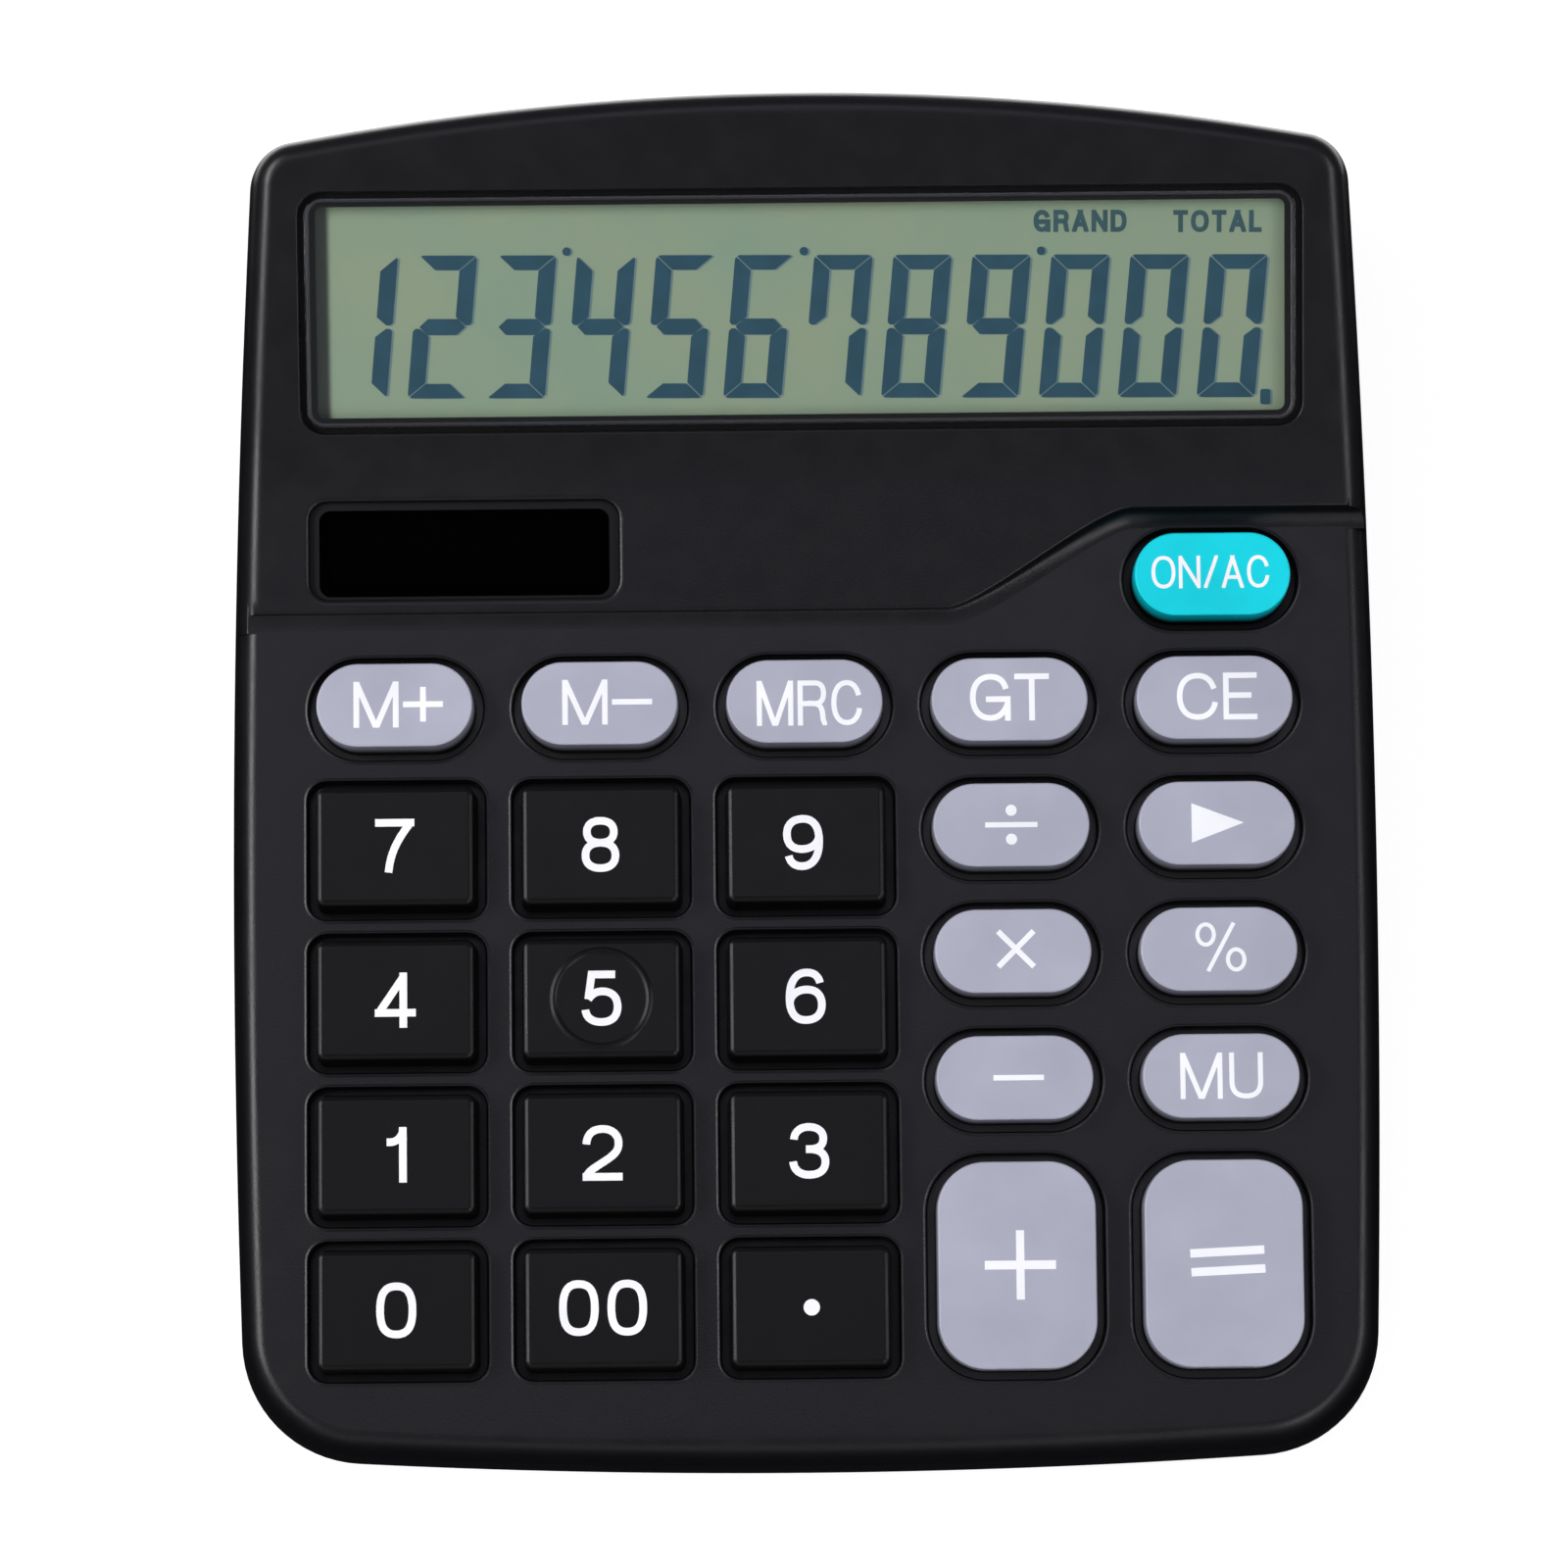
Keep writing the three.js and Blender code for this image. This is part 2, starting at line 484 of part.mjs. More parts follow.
function circuitBoard() {
  const frame = (x, y) => at(x, y / Math.cos(keypadDeck.angle), 0);
  const board = toSolid(deckPlate(-BOARD_BOTTOM, -BOARD_TOP, -19));
  const holes = BOARD_SCREW_SPOTS.map(([x, y]) => placed(bar(1.1, -12, 0, 8), frame(x, y)));
  return toGeometry(cutAll(board, holes));
}

// The bonded controller chip under its drop of epoxy, on the underside of the board.
const controllerChip = () => turned([[0, -BOARD_BOTTOM - 2], [2.6, -BOARD_BOTTOM - 1.8], [4.6, -BOARD_BOTTOM - 0.9],
  [5, -BOARD_BOTTOM - GAP], [0, -BOARD_BOTTOM - GAP]], 12);

// ---------------------------------------------------------------- battery, contacts and leads

const batteryCell = () => turned([[0, 0], [CELL_RADIUS - 0.4, 0], [CELL_RADIUS, 0.5], [CELL_RADIUS, CELL_LENGTH - 1.3],
  [CELL_RADIUS - 0.9, CELL_LENGTH - 0.9], [2.7, CELL_LENGTH - 0.9], [2.7, CELL_LENGTH], [0, CELL_LENGTH]], 20)
  .rotateY(Math.PI / 2);

const CELL_START_X = -23.2; // flat end of the cell, pressed on by the spring

// A conical spring, wide at the bay's wall and narrow at the cell, on a straight solder tail.
function cellSpring() {
  const [turns, perTurn] = [3, 9];
  const points = Array.from({ length: turns * perTurn + 1 }, (_, i) => {
    const share = i / (turns * perTurn);
    const a = (2 * Math.PI * i) / perTurn;
    const r = 4.6 - 2 * share;
    return [-BAY_HALF_X + 0.7 + 3.6 * share, CELL_Y + r * Math.cos(a), CELL_Z + r * Math.sin(a)];
  });
  return tube(points, 0.35, 5, turns * perTurn);
}

const cellPlate = () => box(BAY_HALF_X - 0.8, BAY_HALF_X - GAP, CELL_Y - 5, CELL_Y + 5, CELL_Z - 5, CELL_Z + 4.5);

// A lead runs from its contact, out of the bay's front wall, and down under the circuit board.
function batteryLead(side) {
  const start = [side * 26, CELL_Y - BAY_HALF_Y - 0.2, BAY_CEILING - 1.9];
  const boardZ = deckHeight(keypadDeck, 22) - BOARD_BOTTOM - 1.1;
  return tube([start, [side * 26, 43, BAY_CEILING - 2.2], [side * 25, 37, BAY_CEILING - 5],
    [side * 20, 31, boardZ - 1], [side * 16, 26, boardZ - 0.6], [side * 14, 21, boardZ - 0.9]], 0.6, 6, 12);
}

// A lead from the solar cell down to the board's rear edge.
function solarLead(x) {
  const cellZ = deckHeight(middleDeck, SOLAR_MIDDLE_Y) - WALL - 2.4;
  const boardZ = deckHeight(keypadDeck, 16) - BOARD_BOTTOM - 1.1;
  return tube([[x, 25, cellZ], [x + 1, 22, cellZ - 2.5], [x + 2, 17.4, cellZ - 6.5], [x + 2.5, 14.5, boardZ - 2],
    [x + 2.5, 10.5, boardZ - 1.2]], 0.5, 6, 10);
}

// ---------------------------------------------------------------- feet and screws

const rubberFoot = () => turned([[0, 0], [4, 0], [4.5, 0.5], [4.5, FOOT + GAP], [0, FOOT + GAP]], 16);

// A pan-head screw pointing up, with its head's face at z = 0.
const screw = (headRadius, headHeight, radius, length) => turned([[0, 0], [headRadius * 0.7, 0], [headRadius, headHeight * 0.5],
  [headRadius, headHeight], [radius, headHeight], [radius, length - radius], [0, length]], 8);

// ---------------------------------------------------------------- assembly

const material = (color, roughness, metalness = 0, opacity = 1) =>
  new THREE.MeshStandardMaterial({ color, roughness, metalness, opacity, transparent: opacity < 1 });

const looks = {
  casing: material(0x222225, 0.55),
  black: material(0x1b1b1c, 0.35),
  grey: material(0xa9aabc, 0.45),
  cyan: material(0x12d3de, 0.4),
  clear: material(0xe8eef0, 0.05, 0, 0.25),
  lcd: material(0x86967f, 0.35),
  holder: material(0xe6e6e2, 0.6),
  film: material(0xb98b3c, 0.4),
  solar: material(0x0a0a0f, 0.15),
  silicone: material(0xd8d8d4, 0.7),
  board: material(0x2f6b3a, 0.45),
  epoxy: material(0x101010, 0.5),
  cell: material(0x3c6a4a, 0.3, 0.6),
  metal: material(0xc9c9c6, 0.3, 1),
  steel: material(0x8a8d90, 0.35, 1),
  rubber: material(0x161616, 0.85),
  redWire: material(0xb02020, 0.5),
  blackWire: material(0x181818, 0.5),
};

const calculator = new THREE.Group();

function addPiece(parent, name, geometry, look, x = 0, y = 0, z = 0) {
  const mesh = new THREE.Mesh(geometry, look);
  mesh.name = name;
  mesh.position.set(x, y, z);
  parent.add(mesh);
  return mesh;
}

// A group whose frame is a deck's frame.
function deckGroup(deck, y, x = 0) {
  const group = new THREE.Group();
  group.applyMatrix4(deckFrame(deck, y, x));
  calculator.add(group);
  return group;
}

addPiece(calculator, "top_casing", topCasing(), looks.casing);
addPiece(calculator, "bottom_casing", bottomCasing(), looks.casing);
addPiece(calculator, "battery_door", batteryDoor(), looks.casing);

const keypad = deckGroup(keypadDeck, 0);
const caps = new Map([squareKey, ovalKey, tallKey].map((kind) => [kind, keyCap(kind)]));
for (const { name, x, y, kind, look } of KEYS) {
  addPiece(keypad, name, caps.get(kind), looks[look], x, y / Math.cos(keypadDeck.angle));
}
addPiece(keypad, "rubber_keypad", rubberKeypad(), looks.silicone);
addPiece(keypad, "circuit_board", circuitBoard(), looks.board);
addPiece(keypad, "controller_chip", controllerChip(), looks.epoxy, 8, 4);
BOARD_SCREW_SPOTS.forEach(([x, y], i) =>
  addPiece(keypad, "board_screw_" + (i + 1), screw(1.7, 0.9, 0.6, 5), looks.steel,
    x, y / Math.cos(keypadDeck.angle), -BOARD_BOTTOM - GAP - 0.9));

const display = deckGroup(displayDeck, DISPLAY_MIDDLE_Y);
addPiece(display, "display_lens", displayLens(), looks.clear);
addPiece(display, "lcd_panel", lcdPanel(), looks.lcd);
addPiece(display, "lcd_reflector", reflectorSheet(), looks.holder);
addPiece(display, "display_holder", displayHolder(), looks.holder);
addPiece(calculator, "display_film", displayFilm(), looks.film);

const solar = deckGroup(middleDeck, SOLAR_MIDDLE_Y, SOLAR_X);
addPiece(solar, "solar_window", solarWindow(), looks.clear);
addPiece(solar, "solar_cell", solarCell(), looks.solar);
addPiece(calculator, "solar_lead_red", solarLead(-30), looks.redWire);
addPiece(calculator, "solar_lead_black", solarLead(-38), looks.blackWire);

addPiece(calculator, "battery_cell", batteryCell(), looks.cell, CELL_START_X, CELL_Y, CELL_Z);
addPiece(calculator, "battery_spring", cellSpring(), looks.metal);
addPiece(calculator, "battery_plate", cellPlate(), looks.metal);
addPiece(calculator, "battery_lead_red", batteryLead(1), looks.redWire);
addPiece(calculator, "battery_lead_black", batteryLead(-1), looks.blackWire);

FOOT_SPOTS.forEach(([x, y], i) => addPiece(calculator, "foot_" + (i + 1), rubberFoot(), looks.rubber, x, y));
SCREW_SPOTS.forEach(([x, y], i) =>
  addPiece(calculator, "casing_screw_" + (i + 1), screw(2.2, 1.3, 0.95, 8.2), looks.steel, x, y, FOOT + 0.3));

export default calculator;
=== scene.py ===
"""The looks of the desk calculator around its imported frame.

Shapes are worked out in millimetres, in the frame's own axes: +X is the user's right, +Y points away from
the user and +Z is up. Meshes are scaled to metres when they become pieces.
"""
from math import atan2, cos, pi, radians, sin, sqrt, tan

import bmesh
import bpy
from mathutils import Matrix, Vector
from mathutils.geometry import interpolate_bezier


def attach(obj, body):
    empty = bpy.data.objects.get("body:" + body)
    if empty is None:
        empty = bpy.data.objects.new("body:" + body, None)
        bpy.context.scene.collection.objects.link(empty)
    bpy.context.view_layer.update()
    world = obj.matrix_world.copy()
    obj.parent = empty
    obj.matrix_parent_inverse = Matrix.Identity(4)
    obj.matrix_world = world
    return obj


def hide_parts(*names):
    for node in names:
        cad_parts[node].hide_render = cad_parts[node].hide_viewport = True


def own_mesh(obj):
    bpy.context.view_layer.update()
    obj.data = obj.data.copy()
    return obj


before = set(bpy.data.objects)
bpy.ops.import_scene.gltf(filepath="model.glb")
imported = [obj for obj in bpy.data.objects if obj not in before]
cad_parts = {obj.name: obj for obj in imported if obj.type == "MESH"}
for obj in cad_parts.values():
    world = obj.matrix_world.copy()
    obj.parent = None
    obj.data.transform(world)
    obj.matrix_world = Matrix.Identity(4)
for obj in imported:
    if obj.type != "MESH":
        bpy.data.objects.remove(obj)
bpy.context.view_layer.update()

# ---------------------------------------------------------------- driving dimensions

MM = 0.001
GAP = 0.3
WALL = 2.2
FOOT = 1.5
SPLIT_Z = 6.5
FLOOR_TOP = FOOT + 2
POST = 2.3
REAR_POST_TOP = 15
PILOT = 1.45  # radius of the hole round a casing screw's shaft
RIB = 0.8  # half the width of the rib behind a rear screw post
RIB_LENGTH = 4

HALF_WIDTH = 60.2
HALF_DEPTH = 71.4
WIDEST_Y = 3
SIDE_RADIUS = 1500
FRONT_RADIUS = 790
REAR_RADIUS = 307
FRONT_CORNER = 13
REAR_CORNER = 7
SIDE_DRAFT = tan(radians(5))
EDGE_RADIUS = 2.4
CREASE_Y = 32.7  # where the display deck starts
CREASE_SOFTNESS = 4

COLUMN = 21.2
DIGIT_ROW = 15.85
FUNCTION_ROW = 13.02
MEMORY_Y = 7.05
DIGIT_TOP_Y = -7.6
TALL_Y = -51.15
ON_Y = 19.9
KEY_RISE = 3.8
KEY_TRAVEL = 1.4
FLANGE = 0.5
SOFT_EDGE = 0.22  # radius of the rounded edge of a grey key's top
BODY_GROWTH = 0.15
HOLE_GROWTH = 0.95
BEAD_WIDTH = 0.5
BEAD_HEIGHT = 0.06
BEAD_CREST = HOLE_GROWTH + 0.4 * BEAD_WIDTH
MOUTH_DEPTH = 0.35  # how far down a key's hole its bead reaches
SHADE_TOP = 2.4  # painted shade on a coloured key starts at this height above the deck
SHADE_BOTTOM = -0.6  # down to this one

# Depths below the keypad deck.
FLANGE_TOP = WALL + GAP
FLANGE_BOTTOM = FLANGE_TOP + 1
DOME_TOP = FLANGE_BOTTOM + 0.4
SHEET_TOP = FLANGE_BOTTOM + KEY_TRAVEL + 0.6
SHEET_BOTTOM = SHEET_TOP + 0.9

CELL_RADIUS = 7.1
CELL_LENGTH = 50.2
CELL_START_X = -23.2
CELL_Y = 54.4
CELL_Z = 10.8
BAY_HALF_X = 28.2
BAY_HALF_Y = 7.7
BAY_CEILING = CELL_Z + CELL_RADIUS + 0.5
BAY_WALL = 1.3

SCREW_SPOTS = [(-31.8, -65), (31.8, -65), (-54.6, 13.5), (54.6, 13.5), (-46, 62.2), (46, 62.2)]
BOARD_SCREW_SPOTS = [(-31.8, -15.5), (-31.8, -47.3), (31.8, -12.5), (31.8, -38)]
FOOT_SPOTS = [(-47, -54), (47, -54), (-47, 50), (47, 50)]
FOOT_RADIUS = 4.5

DISPLAY_MIDDLE_Y = 47.2
LENS_SEAT = 1.4
LENS = {"width": 103.3, "height": 24.2, "radius": 2}
WINDOW = {"width": 100.8, "height": 22, "radius": 0.8}
LCD = {"width": 102.4, "height": 25.6, "thickness": 2, "depth": 2.8}
SOLAR_X = -35.25
SOLAR_MIDDLE_Y = 23.4
SOLAR_SEAT = 1.1
SOLAR_RECESS = {"width": 32.2, "height": 10.2, "radius": 1.9}
SOLAR_OPENING = {"width": 29.4, "height": 8.2, "radius": 0.8}

DOOR_HALF_X = 31
DOOR_FRONT = 44.6
DOOR_TOP = FOOT + 1.6
DOOR_RAIL = 1
DOOR_REAR = 80
THUMB_HOLLOW = {"width": 20, "height": 9, "radius": 4.5}
THUMB_Y = DOOR_FRONT + 9


def at(x, y, z=0):
    """A shift by (x, y, z)."""
    return Matrix.Translation((x, y, z))


def spin(angle):
    """A turn about Z."""
    return Matrix.Rotation(angle, 4, "Z")


class Deck:
    """A plane that climbs towards the rear: it holds the point (y, z) and slopes by angle."""

    def __init__(self, y, z, degrees):
        self.y = y
        self.z = z
        self.angle = radians(degrees)

    def height(self, y):
        return self.z + (y - self.y) * tan(self.angle)

    def frame(self, y, x=0):
        """X across, Y up the slope and Z along the normal, with the origin over (x, y)."""
        return at(x, y, self.height(y)) @ Matrix.Rotation(self.angle, 4, "X")


KEYPAD = Deck(-71, 12, 5)
MIDDLE = Deck(17.1, 20.2, 11)
DISPLAY = Deck(CREASE_Y, MIDDLE.height(CREASE_Y), 18)
KEYPAD_FRAME = KEYPAD.frame(0)
DISPLAY_FRAME = DISPLAY.frame(DISPLAY_MIDDLE_Y)
SOLAR_FRAME = MIDDLE.frame(SOLAR_MIDDLE_Y, SOLAR_X)


def on_keypad(x, y):
    """The keypad deck's frame moved to the point over (x, y)."""
    return KEYPAD_FRAME @ at(x, y / cos(KEYPAD.angle))


def raised_height(y):
    """Height of the middle deck, which bends softly into the display deck."""
    past = y - CREASE_Y
    if past < -CREASE_SOFTNESS:
        climb = 0
    elif past < CREASE_SOFTNESS:
        climb = (past + CREASE_SOFTNESS) ** 2 / (4 * CREASE_SOFTNESS)
    else:
        climb = past
    return MIDDLE.height(y) + climb * (tan(DISPLAY.angle) - tan(MIDDLE.angle))


# ---------------------------------------------------------------- mesh helpers


def spread(low, high, count):
    """count + 1 evenly spaced numbers from low to high."""
    return [low + (high - low) * i / count for i in range(count + 1)]


def quarter(radius, steps):
    """(inward, down) pairs round a quarter circle, from a vertical wall to a flat top."""
    return [(radius * (1 - cos(a)), radius * (1 - sin(a))) for a in spread(0, pi / 2, steps)]


def rounded_ring(width, height, radius, z, steps=6):
    """A rounded rectangle as an anticlockwise ring at height z."""
    r = min(radius, width / 2 - 0.01, height / 2 - 0.01)
    ring = []
    for sx, sy, start in ((1, 1, 0), (-1, 1, 90), (-1, -1, 180), (1, -1, 270)):
        for a in spread(radians(start), radians(start + 90), steps):
            ring.append((sx * (width / 2 - r) + r * cos(a), sy * (height / 2 - r) + r * sin(a), z))
    return ring


def size_ring(size, grow, z, steps=6):
    """A ring with the width, height and radius in size, larger by grow on every side."""
    return rounded_ring(size["width"] + 2 * grow, size["height"] + 2 * grow, size["radius"] + grow, z, steps)


def circle(radius, z, sides, x=0, y=0):
    """An anticlockwise ring of points round (x, y) at height z."""
    angles = [2 * pi * i / sides for i in range(sides)]
    return [(x + radius * cos(a), y + radius * sin(a), z) for a in angles]


def cap_strips(row):
    """Faces that join each point of a mirrored ring to its twin, for a cap that bends along Y."""
    count = len(row)
    faces = []
    for i in range(count // 2):
        corners = [row[i], row[i + 1], row[count - i - 1], row[-i]]
        faces.append(list(dict.fromkeys(corners)))
    return faces


def skin(rings, strips=False, closed=False):
    """A closed mesh through rings of equal point counts. A closed skin joins its last ring to its first."""
    bm = bmesh.new()
    rows = [[bm.verts.new(p) for p in ring] for ring in rings]
    count = len(rows[0])
    pairs = list(zip(rows, rows[1:]))
    if closed:
        pairs.append((rows[-1], rows[0]))
    for low, high in pairs:
        for i in range(count):
            j = (i + 1) % count
            bm.faces.new((low[i], low[j], high[j], high[i]))
    if not closed:
        for row in (rows[0], rows[-1]):
            for face in cap_strips(row) if strips else [row]:
                bm.faces.new(face)
    bmesh.ops.recalc_face_normals(bm, faces=bm.faces)
    return as_mesh(bm)


def as_mesh(bm):
    mesh = bpy.data.meshes.new("shape")
    bm.to_mesh(mesh)
    bm.free()
    return mesh


def moved(mesh, matrix):
    copy = mesh.copy()
    copy.transform(matrix)
    return copy


def joined(meshes):
    """Meshes that don't touch each other, as one."""
    bm = bmesh.new()
    for mesh in meshes:
        bm.from_mesh(mesh)
    return as_mesh(bm)


def bar(radius, z0, z1, sides=32, x=0, y=0):
    """An upright cylinder over (x, y)."""
    return skin([circle(radius, z, sides, x, y) for z in (z0, z1)])


def pegs(radius, z0, z1, spots, sides=32):
    """Upright bars over spots, as one mesh."""
    return joined([bar(radius, z0, z1, sides, x, y) for x, y in spots])


def box(x0, x1, y0, y1, z0, z1):
    return skin([[(x0, y0, z), (x1, y0, z), (x1, y1, z), (x0, y1, z)] for z in (z0, z1)])


def block(size, grow, z0, z1, steps=6):
    """A rounded block from z0 to z1, with the outline of size_ring."""
    return skin([size_ring(size, grow, z, steps) for z in (z0, z1)])


def prism(points, z0, z1):
    """A plate with the outline in points, given anticlockwise."""
    return skin([[(x, y, z) for x, y in points] for z in (z0, z1)])


def turned(points):
    """A solid of revolution about Z from (radius, z) points. Its first and last points are on the axis."""
    sides = 48
    bm = bmesh.new()
    rows = []
    for radius, z in points:
        if radius == 0:
            rows.append([bm.verts.new((0, 0, z))])
        else:
            rows.append([bm.verts.new(p) for p in circle(radius, z, sides)])
    for low, high in zip(rows, rows[1:]):
        for i in range(sides):
            j = (i + 1) % sides
            corners = [low[i % len(low)], low[j % len(low)], high[j % len(high)], high[i % len(high)]]
            bm.faces.new(list(dict.fromkeys(corners)))
    bmesh.ops.recalc_face_normals(bm, faces=bm.faces)
    return as_mesh(bm)


def tube(points, radius):
    """A round wire through points, with flat ends."""
    path = [Vector(p) for p in points]
    rings = []
    side = None
    for i, p in enumerate(path):
        ahead = path[min(i + 1, len(path) - 1)] - path[max(i - 1, 0)]
        ahead.normalize()
        if side is None:
            side = ahead.orthogonal().normalized()
        side = (side - ahead * side.dot(ahead)).normalized()
        other = ahead.cross(side)
        rings.append([p + radius * (cos(a) * side + sin(a) * other) for a in spread(0, 2 * pi, 12)[:-1]])
    return skin(rings)


def placed(name, data):
    """A new object in the scene for data."""
    item = bpy.data.objects.new(name, data)
    bpy.context.scene.collection.objects.link(item)
    return item


def combine(base, tool, operation):
    """base and tool as one mesh: UNION, DIFFERENCE or INTERSECT."""
    first = placed("first", base)
    second = placed("second", tool)
    modifier = first.modifiers.new("combine", "BOOLEAN")
    modifier.solver = "MANIFOLD"
    modifier.operation = operation
    modifier.object = second
    graph = bpy.context.evaluated_depsgraph_get()
    result = bpy.data.meshes.new_from_object(first.evaluated_get(graph), depsgraph=graph)
    bpy.data.objects.remove(first)
    bpy.data.objects.remove(second)
    return result


def united(meshes):
    whole = meshes[0]
    for mesh in meshes[1:]:
        whole = combine(whole, mesh, "UNION")
    return whole


def cut(base, tools):
    """base without any of the tools."""
    for tool in tools:
        base = combine(base, tool, "DIFFERENCE")
    return base


SHARP = radians(32)  # edges that turn more than this stay sharp


def tidied(mesh):
    """Merges doubled points, marks sharp edges and shades every face smooth."""
    bm = bmesh.new()
    bm.from_mesh(mesh)
    bmesh.ops.remove_doubles(bm, verts=bm.verts, dist=0.002)
    bmesh.ops.dissolve_degenerate(bm, edges=bm.edges, dist=0.001)
    for edge in bm.edges:
        edge.smooth = len(edge.link_faces) == 2 and edge.calc_face_angle(0) < SHARP
    for face in bm.faces:
        face.smooth = True
    return as_mesh(bm)


def add_piece(name, mesh, material, body, replaced=(), matrix=Matrix()):
    """Makes a mesh in millimetres into a piece that rides on a body and stands for the replaced nodes."""
    final = tidied(mesh)
    final.transform(Matrix.Scale(MM, 4) @ matrix)
    final.materials.clear()
    final.materials.append(material)
    final.name = name
    piece = placed(name, final)
    piece.modifiers.new("normals", "WEIGHTED_NORMAL").keep_sharp = True
    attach(piece, body)
    if replaced:
        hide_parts(*replaced)
    return piece


# ---------------------------------------------------------------- materials


class Shader:
    """A Principled material whose colour, roughness and bump come from noise in object space."""

    def __init__(self, name, color, roughness, **sockets):
        self.material = bpy.data.materials.new(name)
        self.material.use_nodes = True
        self.nodes = self.material.node_tree.nodes
        self.links = self.material.node_tree.links
        self.surface = self.nodes["Principled BSDF"]
        self.surface.inputs["Base Color"].default_value = (*color, 1)
        self.surface.inputs["Roughness"].default_value = roughness
        for socket, value in sockets.items():
            self.surface.inputs[socket.replace("_", " ")].default_value = value
        self.place = self.nodes.new("ShaderNodeTexCoord").outputs["Object"]

    def node(self, kind, inputs, **settings):
        """A new node with these settings. Each input is a plain value or another node's output."""
        node = self.nodes.new("ShaderNode" + kind)
        for name, value in settings.items():
            setattr(node, name, value)
        for name, value in inputs.items():
            if isinstance(value, bpy.types.NodeSocket):
                self.links.new(value, node.inputs[name])
            else:
                node.inputs[name].default_value = value
        return node

    def noise(self, size, detail=2.0, stretch=(1, 1, 1)):
        """Noise whose features are about size millimetres across."""
        mapping = self.node("Mapping", {"Vector": self.place, "Scale": stretch}).outputs["Vector"]
        texture = self.node("TexNoise", {"Vector": mapping, "Scale": 1 / (size * MM), "Detail": detail})
        return texture.outputs["Fac"]

    def wave(self, scale, distortion=0.0):
        """Bands along X."""
        texture = self.node("TexWave", {"Vector": self.place, "Scale": scale, "Distortion": distortion})
        return texture.outputs["Fac"]

    def across(self):
        """The place along X, in metres."""
        return self.node("SeparateXYZ", {"Vector": self.place}).outputs["X"]

    def colour(self, source, low, high, start=0.3, end=0.7):
        """A colour from low to high as source goes from start to end."""
        ramp = self.node("ValToRGB", {"Fac": source})
        for stop, position, color in zip(ramp.color_ramp.elements, (start, end), (low, high)):
            stop.position = position
            stop.color = (*color, 1)
        self.links.new(ramp.outputs["Color"], self.surface.inputs["Base Color"])
        return self

    def fade(self, source, low, high, dark, blend):
        """Paints shade: blends the colour in from dark as source goes from low to high, in millimetres."""
        limits = {"Value": source, "From Min": low * MM, "From Max": high * MM}
        share = self.node("MapRange", limits, interpolation_type=blend).outputs["Result"]
        base = self.surface.inputs["Base Color"]
        mix = self.node("Mix", {0: share, 6: (*dark, 1), 7: base.links[0].from_socket}, data_type="RGBA")
        self.links.new(mix.outputs[2], base)
        return self

    def paint_shade_below_deck(self):
        """Paints shade down a key: the colour fades out from just above the keypad deck to a little way
        below it, where the key stands in the well's shadow.
        """
        normal = (0, -sin(KEYPAD.angle), cos(KEYPAD.angle))
        height = self.node("VectorMath", {0: self.place, 1: normal}, operation="DOT_PRODUCT")
        deck = KEYPAD.height(0) * cos(KEYPAD.angle)
        dark = (0.001, 0.001, 0.001)
        return self.fade(height.outputs["Value"], deck + SHADE_BOTTOM, deck + SHADE_TOP, dark, "LINEAR")

    def paint_shadow_at_left(self):
        """Paints the shadow that the display window's left edge casts on the strip beside it."""
        edge = -WINDOW["width"] / 2
        return self.fade(self.across(), edge + 0.9, edge + 1.6, (0.07, 0.085, 0.07), "SMOOTHSTEP")

    def rough(self, source, low, high):
        """A roughness from low to high."""
        limits = {"Value": source, "From Min": 0.3, "From Max": 0.7, "To Min": low, "To Max": high}
        self.links.new(self.node("MapRange", limits).outputs["Result"], self.surface.inputs["Roughness"])
        return self

    def bump(self, source, height):
        """A bump of height millimetres from source."""
        bump = self.node("Bump", {"Height": source, "Distance": height * MM})
        self.links.new(bump.outputs["Normal"], self.surface.inputs["Normal"])
        return self


def scaled(color, factor):
    return tuple(c * factor for c in color)


def moulded(name, color, roughness, grain=0.22, depth=0.012, sinks=False, **sockets):
    """Moulded plastic: a fine grain, with faint flow marks in its colour and gloss. One that sinks into the
    keypad deck gets painted shade down there."""
    shader = Shader(name, color, roughness, **sockets)
    shader.colour(shader.noise(9, detail=3), scaled(color, 0.93), scaled(color, 1.07))
    if sinks:
        shader.paint_shade_below_deck()
    shader.rough(shader.noise(3.5, detail=4), roughness - 0.035, roughness + 0.035)
    shader.bump(shader.noise(grain, detail=1.5), depth)
    return shader.material


casing_plastic = moulded("casing_plastic", (0.0036, 0.0036, 0.0046), 0.31, Specular_IOR_Level=0.28)
black_key_plastic = moulded("black_key_plastic", (0.0034, 0.0034, 0.0034), 0.29, 0.18, 0.0025,
                            Specular_IOR_Level=0.15)
# Grey and cyan keys get painted shade down their sides and flanges, inside the wells.
grey_key_plastic = moulded("grey_key_plastic", (0.411, 0.4155, 0.497), 0.36, 0.18, 0.006, sinks=True)
cyan_key_plastic = moulded("cyan_key_plastic", (0.001, 0.668, 0.754), 0.36, 0.18, 0.006, sinks=True,
                           Specular_IOR_Level=0.2)
white_ink = moulded("white_ink", (0.96, 0.96, 0.98), 0.5, 0.1, 0.003)
white_plastic = moulded("white_plastic", (0.74, 0.74, 0.71), 0.55)
pearl_film = moulded("pearl_film", (0.72, 0.73, 0.69), 0.3, 0.3, 0.004)
rim_plastic = moulded("rim_plastic", (0.011, 0.011, 0.013), 0.34, 0.1, 0.002)
dull_black = moulded("dull_black", (0.0015, 0.0015, 0.0017), 0.7, 0.1, 0.002, Specular_IOR_Level=0.15)
bezel_black = moulded("bezel_black", (0.002, 0.002, 0.0022), 0.42, 0.1, 0.002, Specular_IOR_Level=0.2)
